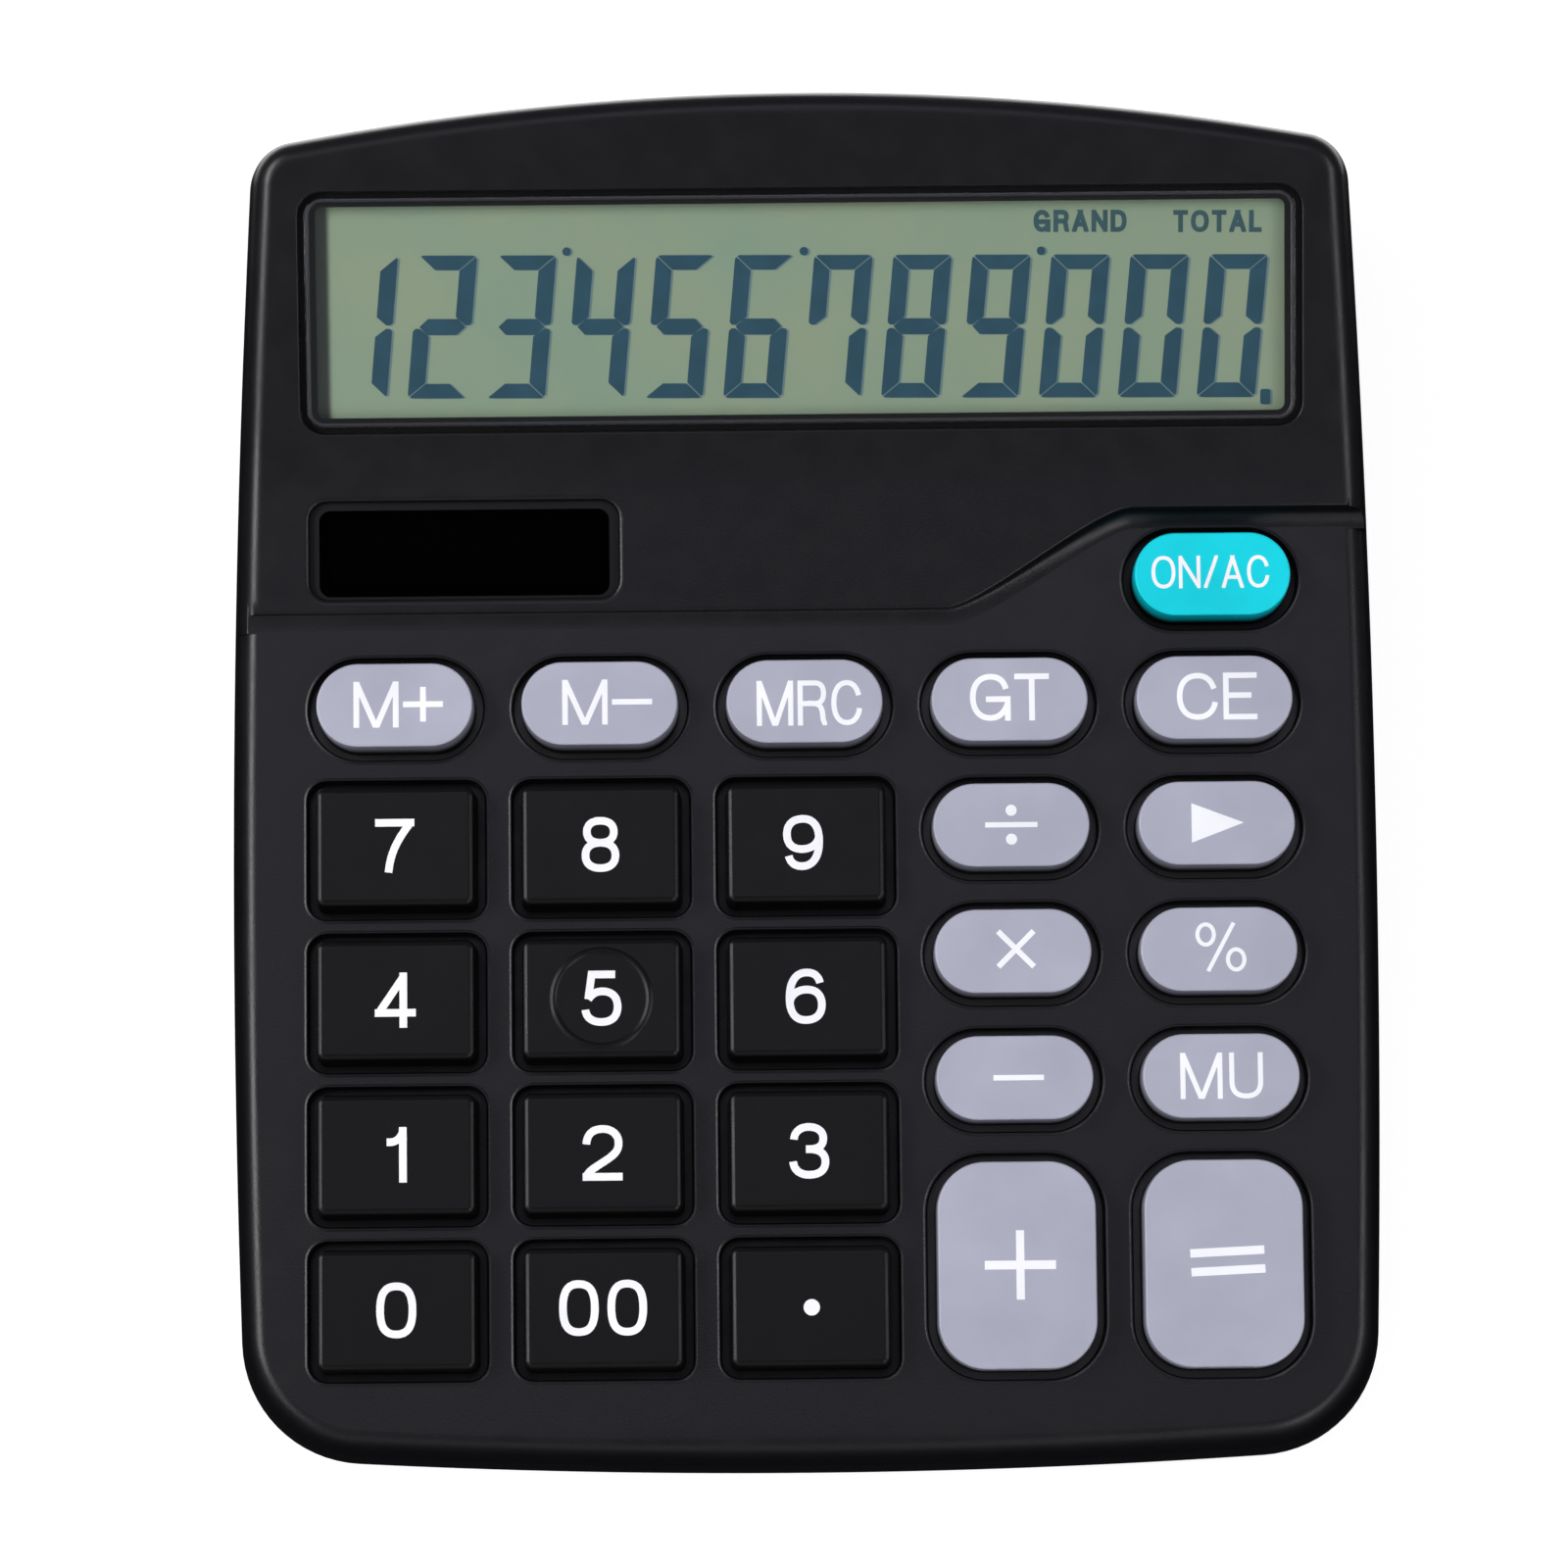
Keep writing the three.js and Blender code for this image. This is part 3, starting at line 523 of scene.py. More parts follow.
# Near-black print round the solar opening, with painted shade in its extra width along the lower edge.
border_print_and_shade = moulded("border_print_and_shade", (0.0001, 0.0001, 0.0001), 0.5, 0.1, 0.001, Specular_IOR_Level=0.005)
foot_rubber = moulded("foot_rubber", (0.009, 0.009, 0.0095), 0.85, 0.35, 0.03)
silicone = moulded("silicone", (0.56, 0.56, 0.54), 0.6, 0.5, 0.012, Subsurface_Weight=0.15,
                   Subsurface_Scale=0.0006)
wire_red = moulded("wire_red", (0.45, 0.02, 0.02), 0.4, 0.6, 0.01)
wire_black = moulded("wire_black", (0.01, 0.01, 0.011), 0.4, 0.6, 0.01)
epoxy = moulded("epoxy", (0.009, 0.009, 0.01), 0.3, 1.6, 0.05)


def lacquered_board():
    """Green laminate whose woven glass shows through the lacquer."""
    shader = Shader("lacquered_board", (0.03, 0.14, 0.05), 0.32, Coat_Weight=0.5, Coat_Roughness=0.12)
    shader.colour(shader.noise(2.5, detail=4), (0.02, 0.11, 0.035), (0.045, 0.17, 0.065))
    return shader.bump(shader.wave(900, 1.5), 0.01).material


def printed_film():
    """Amber film with fine dark conductors that run along it."""
    shader = Shader("printed_film", (0.45, 0.26, 0.05), 0.28)
    shader.colour(shader.wave(320), (0.1, 0.06, 0.03), (0.5, 0.3, 0.07), 0.35, 0.5)
    return shader.rough(shader.noise(2), 0.22, 0.36).material


def display_print(name, color, roughness, low, high, patches, grain):
    """A matt print in the display, mottled from low to high in patches, with a fine grain in its gloss. It
    also colours the digits' painted shadow.
    """
    shader = Shader(name, color, roughness, Specular_IOR_Level=0.2)
    shader.colour(shader.noise(patches, detail=4), low, high)
    return shader.rough(shader.noise(grain), roughness - 0.05, roughness + 0.05)


def liquid_crystal():
    """The display's ground: a matt grey-green film, faintly mottled, behind polished glass, with a painted
    shadow along its left edge.
    """
    shader = display_print("liquid_crystal", (0.24, 0.31, 0.22), 0.5, (0.235, 0.3285, 0.227),
                           (0.275, 0.336, 0.218), 14, 0.4)
    return shader.paint_shadow_at_left().bump(shader.noise(0.15), 0.003).material


def thin_acrylic(name, tint, polish):
    """A thin pane: it shows what is behind it in its tint, with a reflection that grows at a glance."""
    shader = Shader(name, (0.02, 0.02, 0.02), 0.04)
    shader.bump(shader.noise(18), 0.02)
    ripple = shader.nodes["Bump"].outputs["Normal"]
    clear = shader.node("BsdfTransparent", {"Color": (*tint, 1)}).outputs["BSDF"]
    polished = {"Color": (1, 1, 1, 1), "Roughness": 0.04, "Normal": ripple}
    gloss = shader.node("BsdfGlossy", polished).outputs["BSDF"]
    glance = shader.node("LayerWeight", {}).outputs["Facing"]
    steep = shader.node("Math", {0: glance, 1: 5}, operation="POWER").outputs["Value"]
    share = shader.node("MapRange", {"Value": steep, "To Min": polish}).outputs["Result"]
    mix = shader.node("MixShader", {"Fac": share, 1: clear, 2: gloss})
    shader.links.new(mix.outputs["Shader"], shader.nodes["Material Output"].inputs["Surface"])
    shader.nodes.remove(shader.surface)
    return shader.material


def solar_glass():
    """Near-black cell glass with faint brown stripes where its four cells meet."""
    shader = Shader("solar_glass", (0.0012, 0.0012, 0.0016), 0.12, Specular_IOR_Level=0.3)
    shader.colour(shader.wave(41), (0.003, 0.0022, 0.002), (0.0012, 0.0012, 0.0016), 0.0, 0.02)
    return shader.rough(shader.noise(4), 0.1, 0.16).material


def plated_metal(name, color, roughness, stretch):
    """Plated metal with fine marks, which stretch makes longer or shorter along each axis."""
    shader = Shader(name, color, roughness, Metallic=1.0)
    shader.colour(shader.noise(3, detail=5), scaled(color, 0.85), scaled(color, 1.08))
    shader.rough(shader.noise(0.5, detail=3, stretch=stretch), roughness - 0.07, roughness + 0.1)
    return shader.bump(shader.noise(0.3, stretch=stretch), 0.006).material


def cell_sleeve():
    """A printed sleeve: plain green, with a pale band near the cell's raised end."""
    shader = Shader("cell_sleeve", (0.02, 0.11, 0.05), 0.28, Coat_Weight=0.6, Coat_Roughness=0.08)
    shader.colour(shader.across(), (0.02, 0.11, 0.05), (0.62, 0.6, 0.5), 0.0125, 0.0127)
    shader.rough(shader.noise(2.5), 0.24, 0.34)
    return shader.bump(shader.noise(0.8), 0.006).material


board_laminate = lacquered_board()
amber_film = printed_film()
lcd_ground = liquid_crystal()
lcd_segment = display_print("lit_segment", (0.018, 0.068, 0.1), 0.4, (0.015, 0.061, 0.09),
                            (0.021, 0.076, 0.112), 2.5, 0.3).material
lcd_indicator = display_print("indicator_ink", (0.035, 0.09, 0.1), 0.4, (0.03, 0.082, 0.09),
                              (0.04, 0.1, 0.11), 2, 0.3).material
# Painted shadow: the colour of the digit copies that stand in for the shade the segments cast on the glass.
lcd_shadow = display_print("segment_shadow", (0.13, 0.205, 0.2), 0.5, (0.12, 0.19, 0.187),
                           (0.14, 0.215, 0.21), 3, 0.4).material
acrylic = thin_acrylic("clear_acrylic", (0.985, 0.99, 0.99), 0.012)
smoked_acrylic = thin_acrylic("smoked_acrylic", (0.2, 0.2, 0.2), 0.002)
solar_black = solar_glass()
nickel = plated_metal("nickel", (0.62, 0.61, 0.58), 0.24, (1, 1, 8))
zinc = plated_metal("zinc", (0.34, 0.35, 0.36), 0.34, (8, 1, 1))
sleeve = cell_sleeve()

# ---------------------------------------------------------------- casing outline


def corner_centre(a, ra, b, rb, r, pick):
    """Centre of the circle of radius r that rounds the corner between two large circles, from inside."""
    d = (b - a).length
    along = ((ra - r) ** 2 - (rb - r) ** 2 + d * d) / (2 * d)
    off = sqrt((ra - r) ** 2 - along ** 2)
    u = (b - a) / d
    across = Vector((-u.y, u.x))
    return max((a + u * along + across * off, a + u * along - across * off), key=lambda c: c.dot(pick))


def footprint():
    """(point, outward direction) pairs of the outline at the joint line, anticlockwise from the front."""
    side = (Vector((HALF_WIDTH - SIDE_RADIUS, WIDEST_Y)), SIDE_RADIUS)
    rear = (Vector((0, HALF_DEPTH - REAR_RADIUS)), REAR_RADIUS)
    front = (Vector((0, FRONT_RADIUS - HALF_DEPTH)), FRONT_RADIUS)

    def corner(end, radius, sy):
        return corner_centre(*side, *end, radius, Vector((1, sy))), radius

    rear_corner = corner(rear, REAR_CORNER, 1)
    front_corner = corner(front, FRONT_CORNER, -1)

    def heading(start, end):
        return atan2(end[0].y - start[0].y, end[0].x - start[0].x)

    low = heading(side, front_corner)
    high = heading(side, rear_corner)
    crease = (CREASE_Y - WIDEST_Y) / SIDE_RADIUS
    soft = (CREASE_SOFTNESS + 0.5) / SIDE_RADIUS
    arcs = [
        (front, spread(-pi / 2, heading(front, front_corner), 14)),
        (front_corner, spread(heading(front, front_corner), low, 16)),
        (side, spread(low, crease - soft, 36)),
        (side, spread(crease - soft, crease + soft, 16)),
        (side, spread(crease + soft, high, 14)),
        (rear_corner, spread(high, heading(rear, rear_corner), 14)),
        (rear, spread(heading(rear, rear_corner), pi / 2, 24)),
    ]
    half = []
    for (centre, radius), angles in arcs:
        for a in angles[:-1]:
            n = Vector((cos(a), sin(a)))
            half.append((centre + n * radius, n))
    mirrored = [(Vector((-p.x, p.y)), Vector((-n.x, n.y))) for p, n in reversed(half[1:])]
    return half + [(Vector((0, HALF_DEPTH)), Vector((0, 1)))] + mirrored


FOOTPRINT = footprint()


def casing_ring(inset, height_at):
    """The outline moved in by inset, at the height that height_at(y) gives. Walls lean in with height."""
    ring = []
    for p, n in FOOTPRINT:
        q, z = p, SPLIT_Z
        for _ in range(4):
            z = height_at(q.y)
            q = p - n * (inset + max(0, z - SPLIT_Z) * SIDE_DRAFT)
        ring.append((q.x, q.y, z))
    return ring


def level_ring(inset, z):
    """The outline at one height."""
    return casing_ring(inset, lambda y: z)


def bulk_under(height_at, inset, z0):
    """The casing's bulk under a deck, inset inside its faces, from z0 up, with a rounded upper edge."""
    rings = [level_ring(inset, z0)]
    if inset == 0:
        rings = [level_ring(0.2, z0), level_ring(0, z0 + 0.2)]
    for inward, down in quarter(EDGE_RADIUS - inset / 2, 8):
        rings.append(casing_ring(inset + inward, lambda y: height_at(y) - inset - down))
    return skin(rings, strips=True)


STEP_LOW_X = 14.7
STEP_LOW_Y = 17.1
STEP_HIGH_X = 34.4
STEP_HIGH_Y = 27.1
STEP_EASE = 0.2

# The step's face, from the foot of its cove to its rounded brow: how far behind the step's plan, and the
# share of the climb from the keypad deck to the raised deck.
STEP_FACE = [
    (-2, -0.02), (-1.75, 0.01), (-1.45, 0.05), (-1.15, 0.12), (-0.85, 0.21), (-0.55, 0.31), (-0.36, 0.4),
    (-0.22, 0.52), (-0.11, 0.7), (0, 0.88), (0.09, 0.96), (0.2, 0.99), (0.33, 1.0),
]


def step_line(shift):
    """The step's plan, low on the left and high on the right, moved by shift along its own normal."""
    ease = (STEP_HIGH_X - STEP_LOW_X) * STEP_EASE
    knots = [(STEP_LOW_X, STEP_LOW_Y), (STEP_LOW_X + ease, STEP_LOW_Y), (STEP_HIGH_X - ease, STEP_HIGH_Y),
             (STEP_HIGH_X, STEP_HIGH_Y)]
    line = [Vector((-80, STEP_LOW_Y))]
    line += [p.xy for p in interpolate_bezier(*[Vector((x, y, 0)) for x, y in knots], 29)]
    line.append(Vector((80, STEP_HIGH_Y)))
    out = []
    for i, p in enumerate(line):
        ahead = (line[min(i + 1, len(line) - 1)] - line[max(i - 1, 0)]).normalized()
        out.append(p + Vector((-ahead.y, ahead.x)) * shift)
    return out


def raised_region(face):
    """The ground behind the step, whose front face has the (inward, share of the climb) points in face."""

    def ring(inward, height_at):
        line = step_line(inward) + [Vector((80, 100)), Vector((-80, 100))]
        return [(p.x, p.y, height_at(p.y)) for p in line]

    rings = [ring(face[0][0], lambda y: 0)]
    for inward, share in face:
        rings.append(ring(inward, lambda y: KEYPAD.height(y) + share * (raised_height(y) - KEYPAD.height(y))))
    rings.append(ring(face[-1][0], lambda y: 60))
    return skin(rings)


def upper_bulk(inset, z0):
    """The keypad deck's bulk with the raised decks' bulk behind the step."""
    low = bulk_under(KEYPAD.height, inset, z0)
    raised = bulk_under(raised_height, inset, z0)
    region = raised_region([(inset, 0.5)] if inset else STEP_FACE)
    raised = combine(raised, region, "INTERSECT")
    return combine(low, raised, "UNION")


# ---------------------------------------------------------------- keys

# Black keys have a gently sloping shoulder round their tops. Each edge is a list of (inward, down) points.
SHOULDER = [(0, 0.5), (0.03, 0.36), (0.1, 0.24), (0.2, 0.16), (0.3, 0.115), (0.42, 0.07), (0.54, 0.028),
            (0.64, 0.007), (0.74, 0)]
SQUARE = {"width": 16.4, "height": 12.4, "radius": 0.95, "steps": 8, "edge": SHOULDER}
OVAL = {"width": 16.15, "height": 8.65, "radius": 4.32, "steps": 16, "edge": quarter(SOFT_EDGE, 6)}
TALL = {"width": 16.25, "height": 21.2, "radius": 4.9, "steps": 16, "edge": quarter(SOFT_EDGE, 6)}

KEY_MATERIALS = {
    "black_key_plastic": black_key_plastic,
    "grey_key_plastic": grey_key_plastic,
    "cyan_key_plastic": cyan_key_plastic,
}
KEYS = []


def add_key(name, column, y, kind, slot):
    KEYS.append({"name": name, "x": column * COLUMN, "y": y, "kind": kind, "slot": slot})


for i, name in enumerate(["7", "8", "9", "4", "5", "6", "1", "2", "3", "0", "00", "point"]):
    add_key(name, i % 3 - 2, DIGIT_TOP_Y - i // 3 * DIGIT_ROW, SQUARE, "black_key_plastic")
for i, name in enumerate(["memory_plus", "memory_minus", "memory_recall", "grand_total", "clear_entry"]):
    add_key(name, i - 2, MEMORY_Y, OVAL, "grey_key_plastic")
for i, name in enumerate(["divide", "backspace", "multiply", "percent", "minus", "markup"]):
    add_key(name, 1 + i % 2, MEMORY_Y - (1 + i // 2) * FUNCTION_ROW, OVAL, "grey_key_plastic")
add_key("plus", 1, TALL_Y, TALL, "grey_key_plastic")
add_key("equals", 2, TALL_Y, TALL, "grey_key_plastic")
add_key("on", 2, ON_Y, OVAL, "cyan_key_plastic")


def key_ring(kind, grow, z):
    """The outline of a key's top face, grown on every side, at height z above the deck.

    Rings far inside the outline keep a little of the corner's radius.
    """
    radius = kind["radius"] + max(grow, -0.8)
    return rounded_ring(kind["width"] + 2 * grow, kind["height"] + 2 * grow, radius, z, kind["steps"])


def key_cap(kind):
    """A hollow cap with a flange under the deck and a plunger over its dome."""
    shell = 1.3
    ceiling = KEY_RISE - 1.6
    flange = HOLE_GROWTH + FLANGE
    profile = [
        (-shell - 0.6, ceiling), (-shell, ceiling - 0.6), (-shell, -FLANGE_BOTTOM),
        (flange - 0.1, -FLANGE_BOTTOM), (flange, -FLANGE_BOTTOM + 0.1), (flange, -FLANGE_TOP - 0.1),
        (flange - 0.1, -FLANGE_TOP), (BODY_GROWTH, -FLANGE_TOP),
    ]
    for inward, down in kind["edge"]:
        profile.append((-inward, KEY_RISE - down))
    cap = skin([key_ring(kind, grow, z) for grow, z in profile])
    plunger = bar(1.8, -FLANGE_BOTTOM - 0.1, ceiling + 0.5)
    return combine(cap, plunger, "UNION")


def well_bead(kind):
    """A low rounded bead on the deck around a key's hole."""
    outer = HOLE_GROWTH + BEAD_WIDTH
    rings = [key_ring(kind, outer, -1)]
    for t in spread(0, 1, 6):
        rings.append(key_ring(kind, outer + (BEAD_CREST - outer) * t, BEAD_HEIGHT * (1 - cos(pi * t)) / 2))
    return skin(rings)


def well_hole(kind):
    """A key's hole, whose mouth opens out into the inner face of its bead."""
    rings = [key_ring(kind, HOLE_GROWTH, -WALL - 2)]
    for a in spread(0, pi / 2, 5):
        grow = BEAD_CREST - (BEAD_CREST - HOLE_GROWTH) * cos(a)
        rings.append(key_ring(kind, grow, -MOUTH_DEPTH + (BEAD_HEIGHT + MOUTH_DEPTH) * sin(a)))
    rings.append(key_ring(kind, BEAD_CREST, 3))
    return skin(rings)


def at_keys(shape):
    """The shape that shape(kind) makes for each key, all in place, as one mesh."""
    return joined([moved(shape(key["kind"]), on_keypad(key["x"], key["y"])) for key in KEYS])


# ---------------------------------------------------------------- top casing


def recess(size, grow, depth, mouth, fall=1.0):
    """A recess whose mouth is rounded by mouth, and falls by that share of it."""
    profile = [(grow, -depth)]
    profile += [(grow + inward, -fall * down) for inward, down in quarter(mouth, 6)]
    profile.append((grow + mouth, 3))
    return skin([size_ring(size, g, z) for g, z in profile])


def top_casing():
    """The shell with its holes, recesses and windows, and the posts that the screws bite into."""
    shell = combine(upper_bulk(0, SPLIT_Z + GAP), upper_bulk(WALL, SPLIT_Z - 1), "DIFFERENCE")
    shell = cut(combine(shell, at_keys(well_bead), "UNION"), [
        at_keys(well_hole),
        moved(recess(LENS, 0.4, LENS_SEAT, 0.25), DISPLAY_FRAME),
        moved(block(WINDOW, 0, -WALL - 2, 1), DISPLAY_FRAME),
        moved(recess(SOLAR_RECESS, 0, SOLAR_SEAT, 0.6, 0.45), SOLAR_FRAME),
        moved(block(SOLAR_OPENING, 0, -WALL - 2, 1), SOLAR_FRAME),
        moved(box(-16.6, 16.6, -5.4, 5.6, -WALL - 2, -WALL), SOLAR_FRAME),
    ])
    posts = []
    for x, y in SCREW_SPOTS:
        top = REAR_POST_TOP if y > CREASE_Y else KEYPAD.height(y) - 1
        posts.append(bar(POST, SPLIT_Z + GAP, top, x=x, y=y))
        if y > CREASE_Y:
            low = SPLIT_Z + GAP + 0.4
            posts.append(box(x - RIB, x + RIB, y, y + RIB_LENGTH, low, REAR_POST_TOP - 0.4))
    pilots = [pegs(PILOT, 0, SPLIT_Z + 4.3, SCREW_SPOTS)]
    for x, y in BOARD_SCREW_SPOTS:
        posts.append(moved(bar(1.6, -SHEET_BOTTOM, -WALL + 0.5), on_keypad(x, y)))
        pilots.append(moved(bar(1, -SHEET_BOTTOM - 1, -SHEET_BOTTOM + 3.3), on_keypad(x, y)))
    return combine(united([shell] + posts), joined(pilots), "DIFFERENCE")


add_piece("casing_top", top_casing(), casing_plastic, "casing", ["top_casing"])

# ---------------------------------------------------------------- bottom casing and battery door


def lower_bulk():
    """The bottom casing's bulk, with a rounded lower edge."""
    top = SPLIT_Z - FOOT
    profile = [(1.9, 0), (1.25, 0.12), (0.9, 0.4), (0.72, 0.8), (0.6, 1.2), (0.3, 3.2)]
    profile += [(0, top - 0.2), (0.2, top)]
    return skin([level_ring(inset, FOOT + rise) for inset, rise in profile], strips=True)


def bottom_casing():
    """The tray with its lip, screw wells, foot recesses and battery bay."""
    bulk = lower_bulk()
    hollow = skin([level_ring(WALL + 0.6, FLOOR_TOP), level_ring(WALL, SPLIT_Z + 1)], strips=True)
    lip_outer = skin([level_ring(WALL + 0.4, z) for z in (FLOOR_TOP - 1, SPLIT_Z + 1.2)], strips=True)
    lip_inner = skin([level_ring(WALL + 1.4, z) for z in (FLOOR_TOP - 2, SPLIT_Z + 3)], strips=True)
    posts = pegs(POST + 0.9, FLOOR_TOP - 1, SPLIT_Z, SCREW_SPOTS)
    bay = box(-BAY_HALF_X - BAY_WALL, BAY_HALF_X + BAY_WALL, CELL_Y - BAY_HALF_Y - BAY_WALL,
              CELL_Y + BAY_HALF_Y + BAY_WALL, FLOOR_TOP - 1, BAY_CEILING + BAY_WALL)
    pad = box(-DOOR_HALF_X - 4, DOOR_HALF_X + 4, DOOR_FRONT - 3, DOOR_REAR, FOOT + 1, FLOOR_TOP + 1)
    solid = united([
        cut(bulk, [hollow]),
        cut(lip_outer, [lip_inner]),
        bay,
        combine(pad, bulk, "INTERSECT"),
        combine(posts, bulk, "INTERSECT"),
    ])
    slack = DOOR_HALF_X + GAP
    groove = slack + DOOR_RAIL
    passages = [
        box(s * 26 - 1.6, s * 26 + 1.6, CELL_Y - BAY_HALF_Y - 3, CELL_Y - BAY_HALF_Y + 1, BAY_CEILING - 3.4,
            BAY_CEILING - 0.4)
        for s in (-1, 1)
    ]
    slot = RIB + GAP
    ribs = [box(x - slot, x + slot, y, y + RIB_LENGTH + 1, SPLIT_Z, SPLIT_Z + 4) for x, y in SCREW_SPOTS[-2:]]
    label = {"width": 46, "height": 24, "radius": 1.5}
    return cut(solid, [
        box(-slack, slack, DOOR_FRONT - GAP, DOOR_REAR, 0, DOOR_TOP + GAP),
        box(-groove, groove, DOOR_FRONT - GAP, DOOR_REAR, DOOR_TOP - 0.9, DOOR_TOP + GAP),
        box(-BAY_HALF_X, BAY_HALF_X, CELL_Y - BAY_HALF_Y, CELL_Y + BAY_HALF_Y, 0, BAY_CEILING),
        joined(passages),
        pegs(FOOT_RADIUS + GAP, 0, FOOT + 0.6, FOOT_SPOTS, 48),
        pegs(2.5, 0, FOOT + 1.9, SCREW_SPOTS, 40),
        pegs(PILOT, 0, SPLIT_Z + 2, SCREW_SPOTS),
        pegs(POST + GAP, SPLIT_Z, SPLIT_Z + 4, SCREW_SPOTS),
        joined(ribs),
        moved(block(label, 0, 0, FOOT + 0.25), at(0, -8)),
    ])


def battery_door():
    """A plate flush with the underside, with a rail along each side and a ribbed thumb hollow."""
    plate = box(-DOOR_HALF_X, DOOR_HALF_X, DOOR_FRONT, DOOR_REAR, 0, DOOR_TOP)
    reach = DOOR_HALF_X + DOOR_RAIL
    rails = box(-reach, reach, DOOR_FRONT + 0.01, DOOR_REAR - 1, DOOR_TOP - 0.6, DOOR_TOP - 0.01)
    door = combine(combine(plate, rails, "UNION"), lower_bulk(), "INTERSECT")
    profile = [(0.6, -0.5), (0.6, 0), (0.2, 0.45), (-0.4, 0.7)]
    hollow = skin([size_ring(THUMB_HOLLOW, grow, FOOT + z, 12) for grow, z in profile])
    ribs = []
    for i in range(-2, 3):
        y = THUMB_Y + i * 1.7
        ribs.append(box(-8.4 + abs(i), 8.4 - abs(i), y - 0.35, y + 0.35, FOOT + 0.15, FOOT + 1))
    return combine(combine(door, moved(hollow, at(0, THUMB_Y)), "DIFFERENCE"), joined(ribs), "UNION")


add_piece("casing_bottom", bottom_casing(), casing_plastic, "casing", ["bottom_casing"])
add_piece("door", battery_door(), casing_plastic, "battery_door", ["battery_door"])

# ---------------------------------------------------------------- lettering

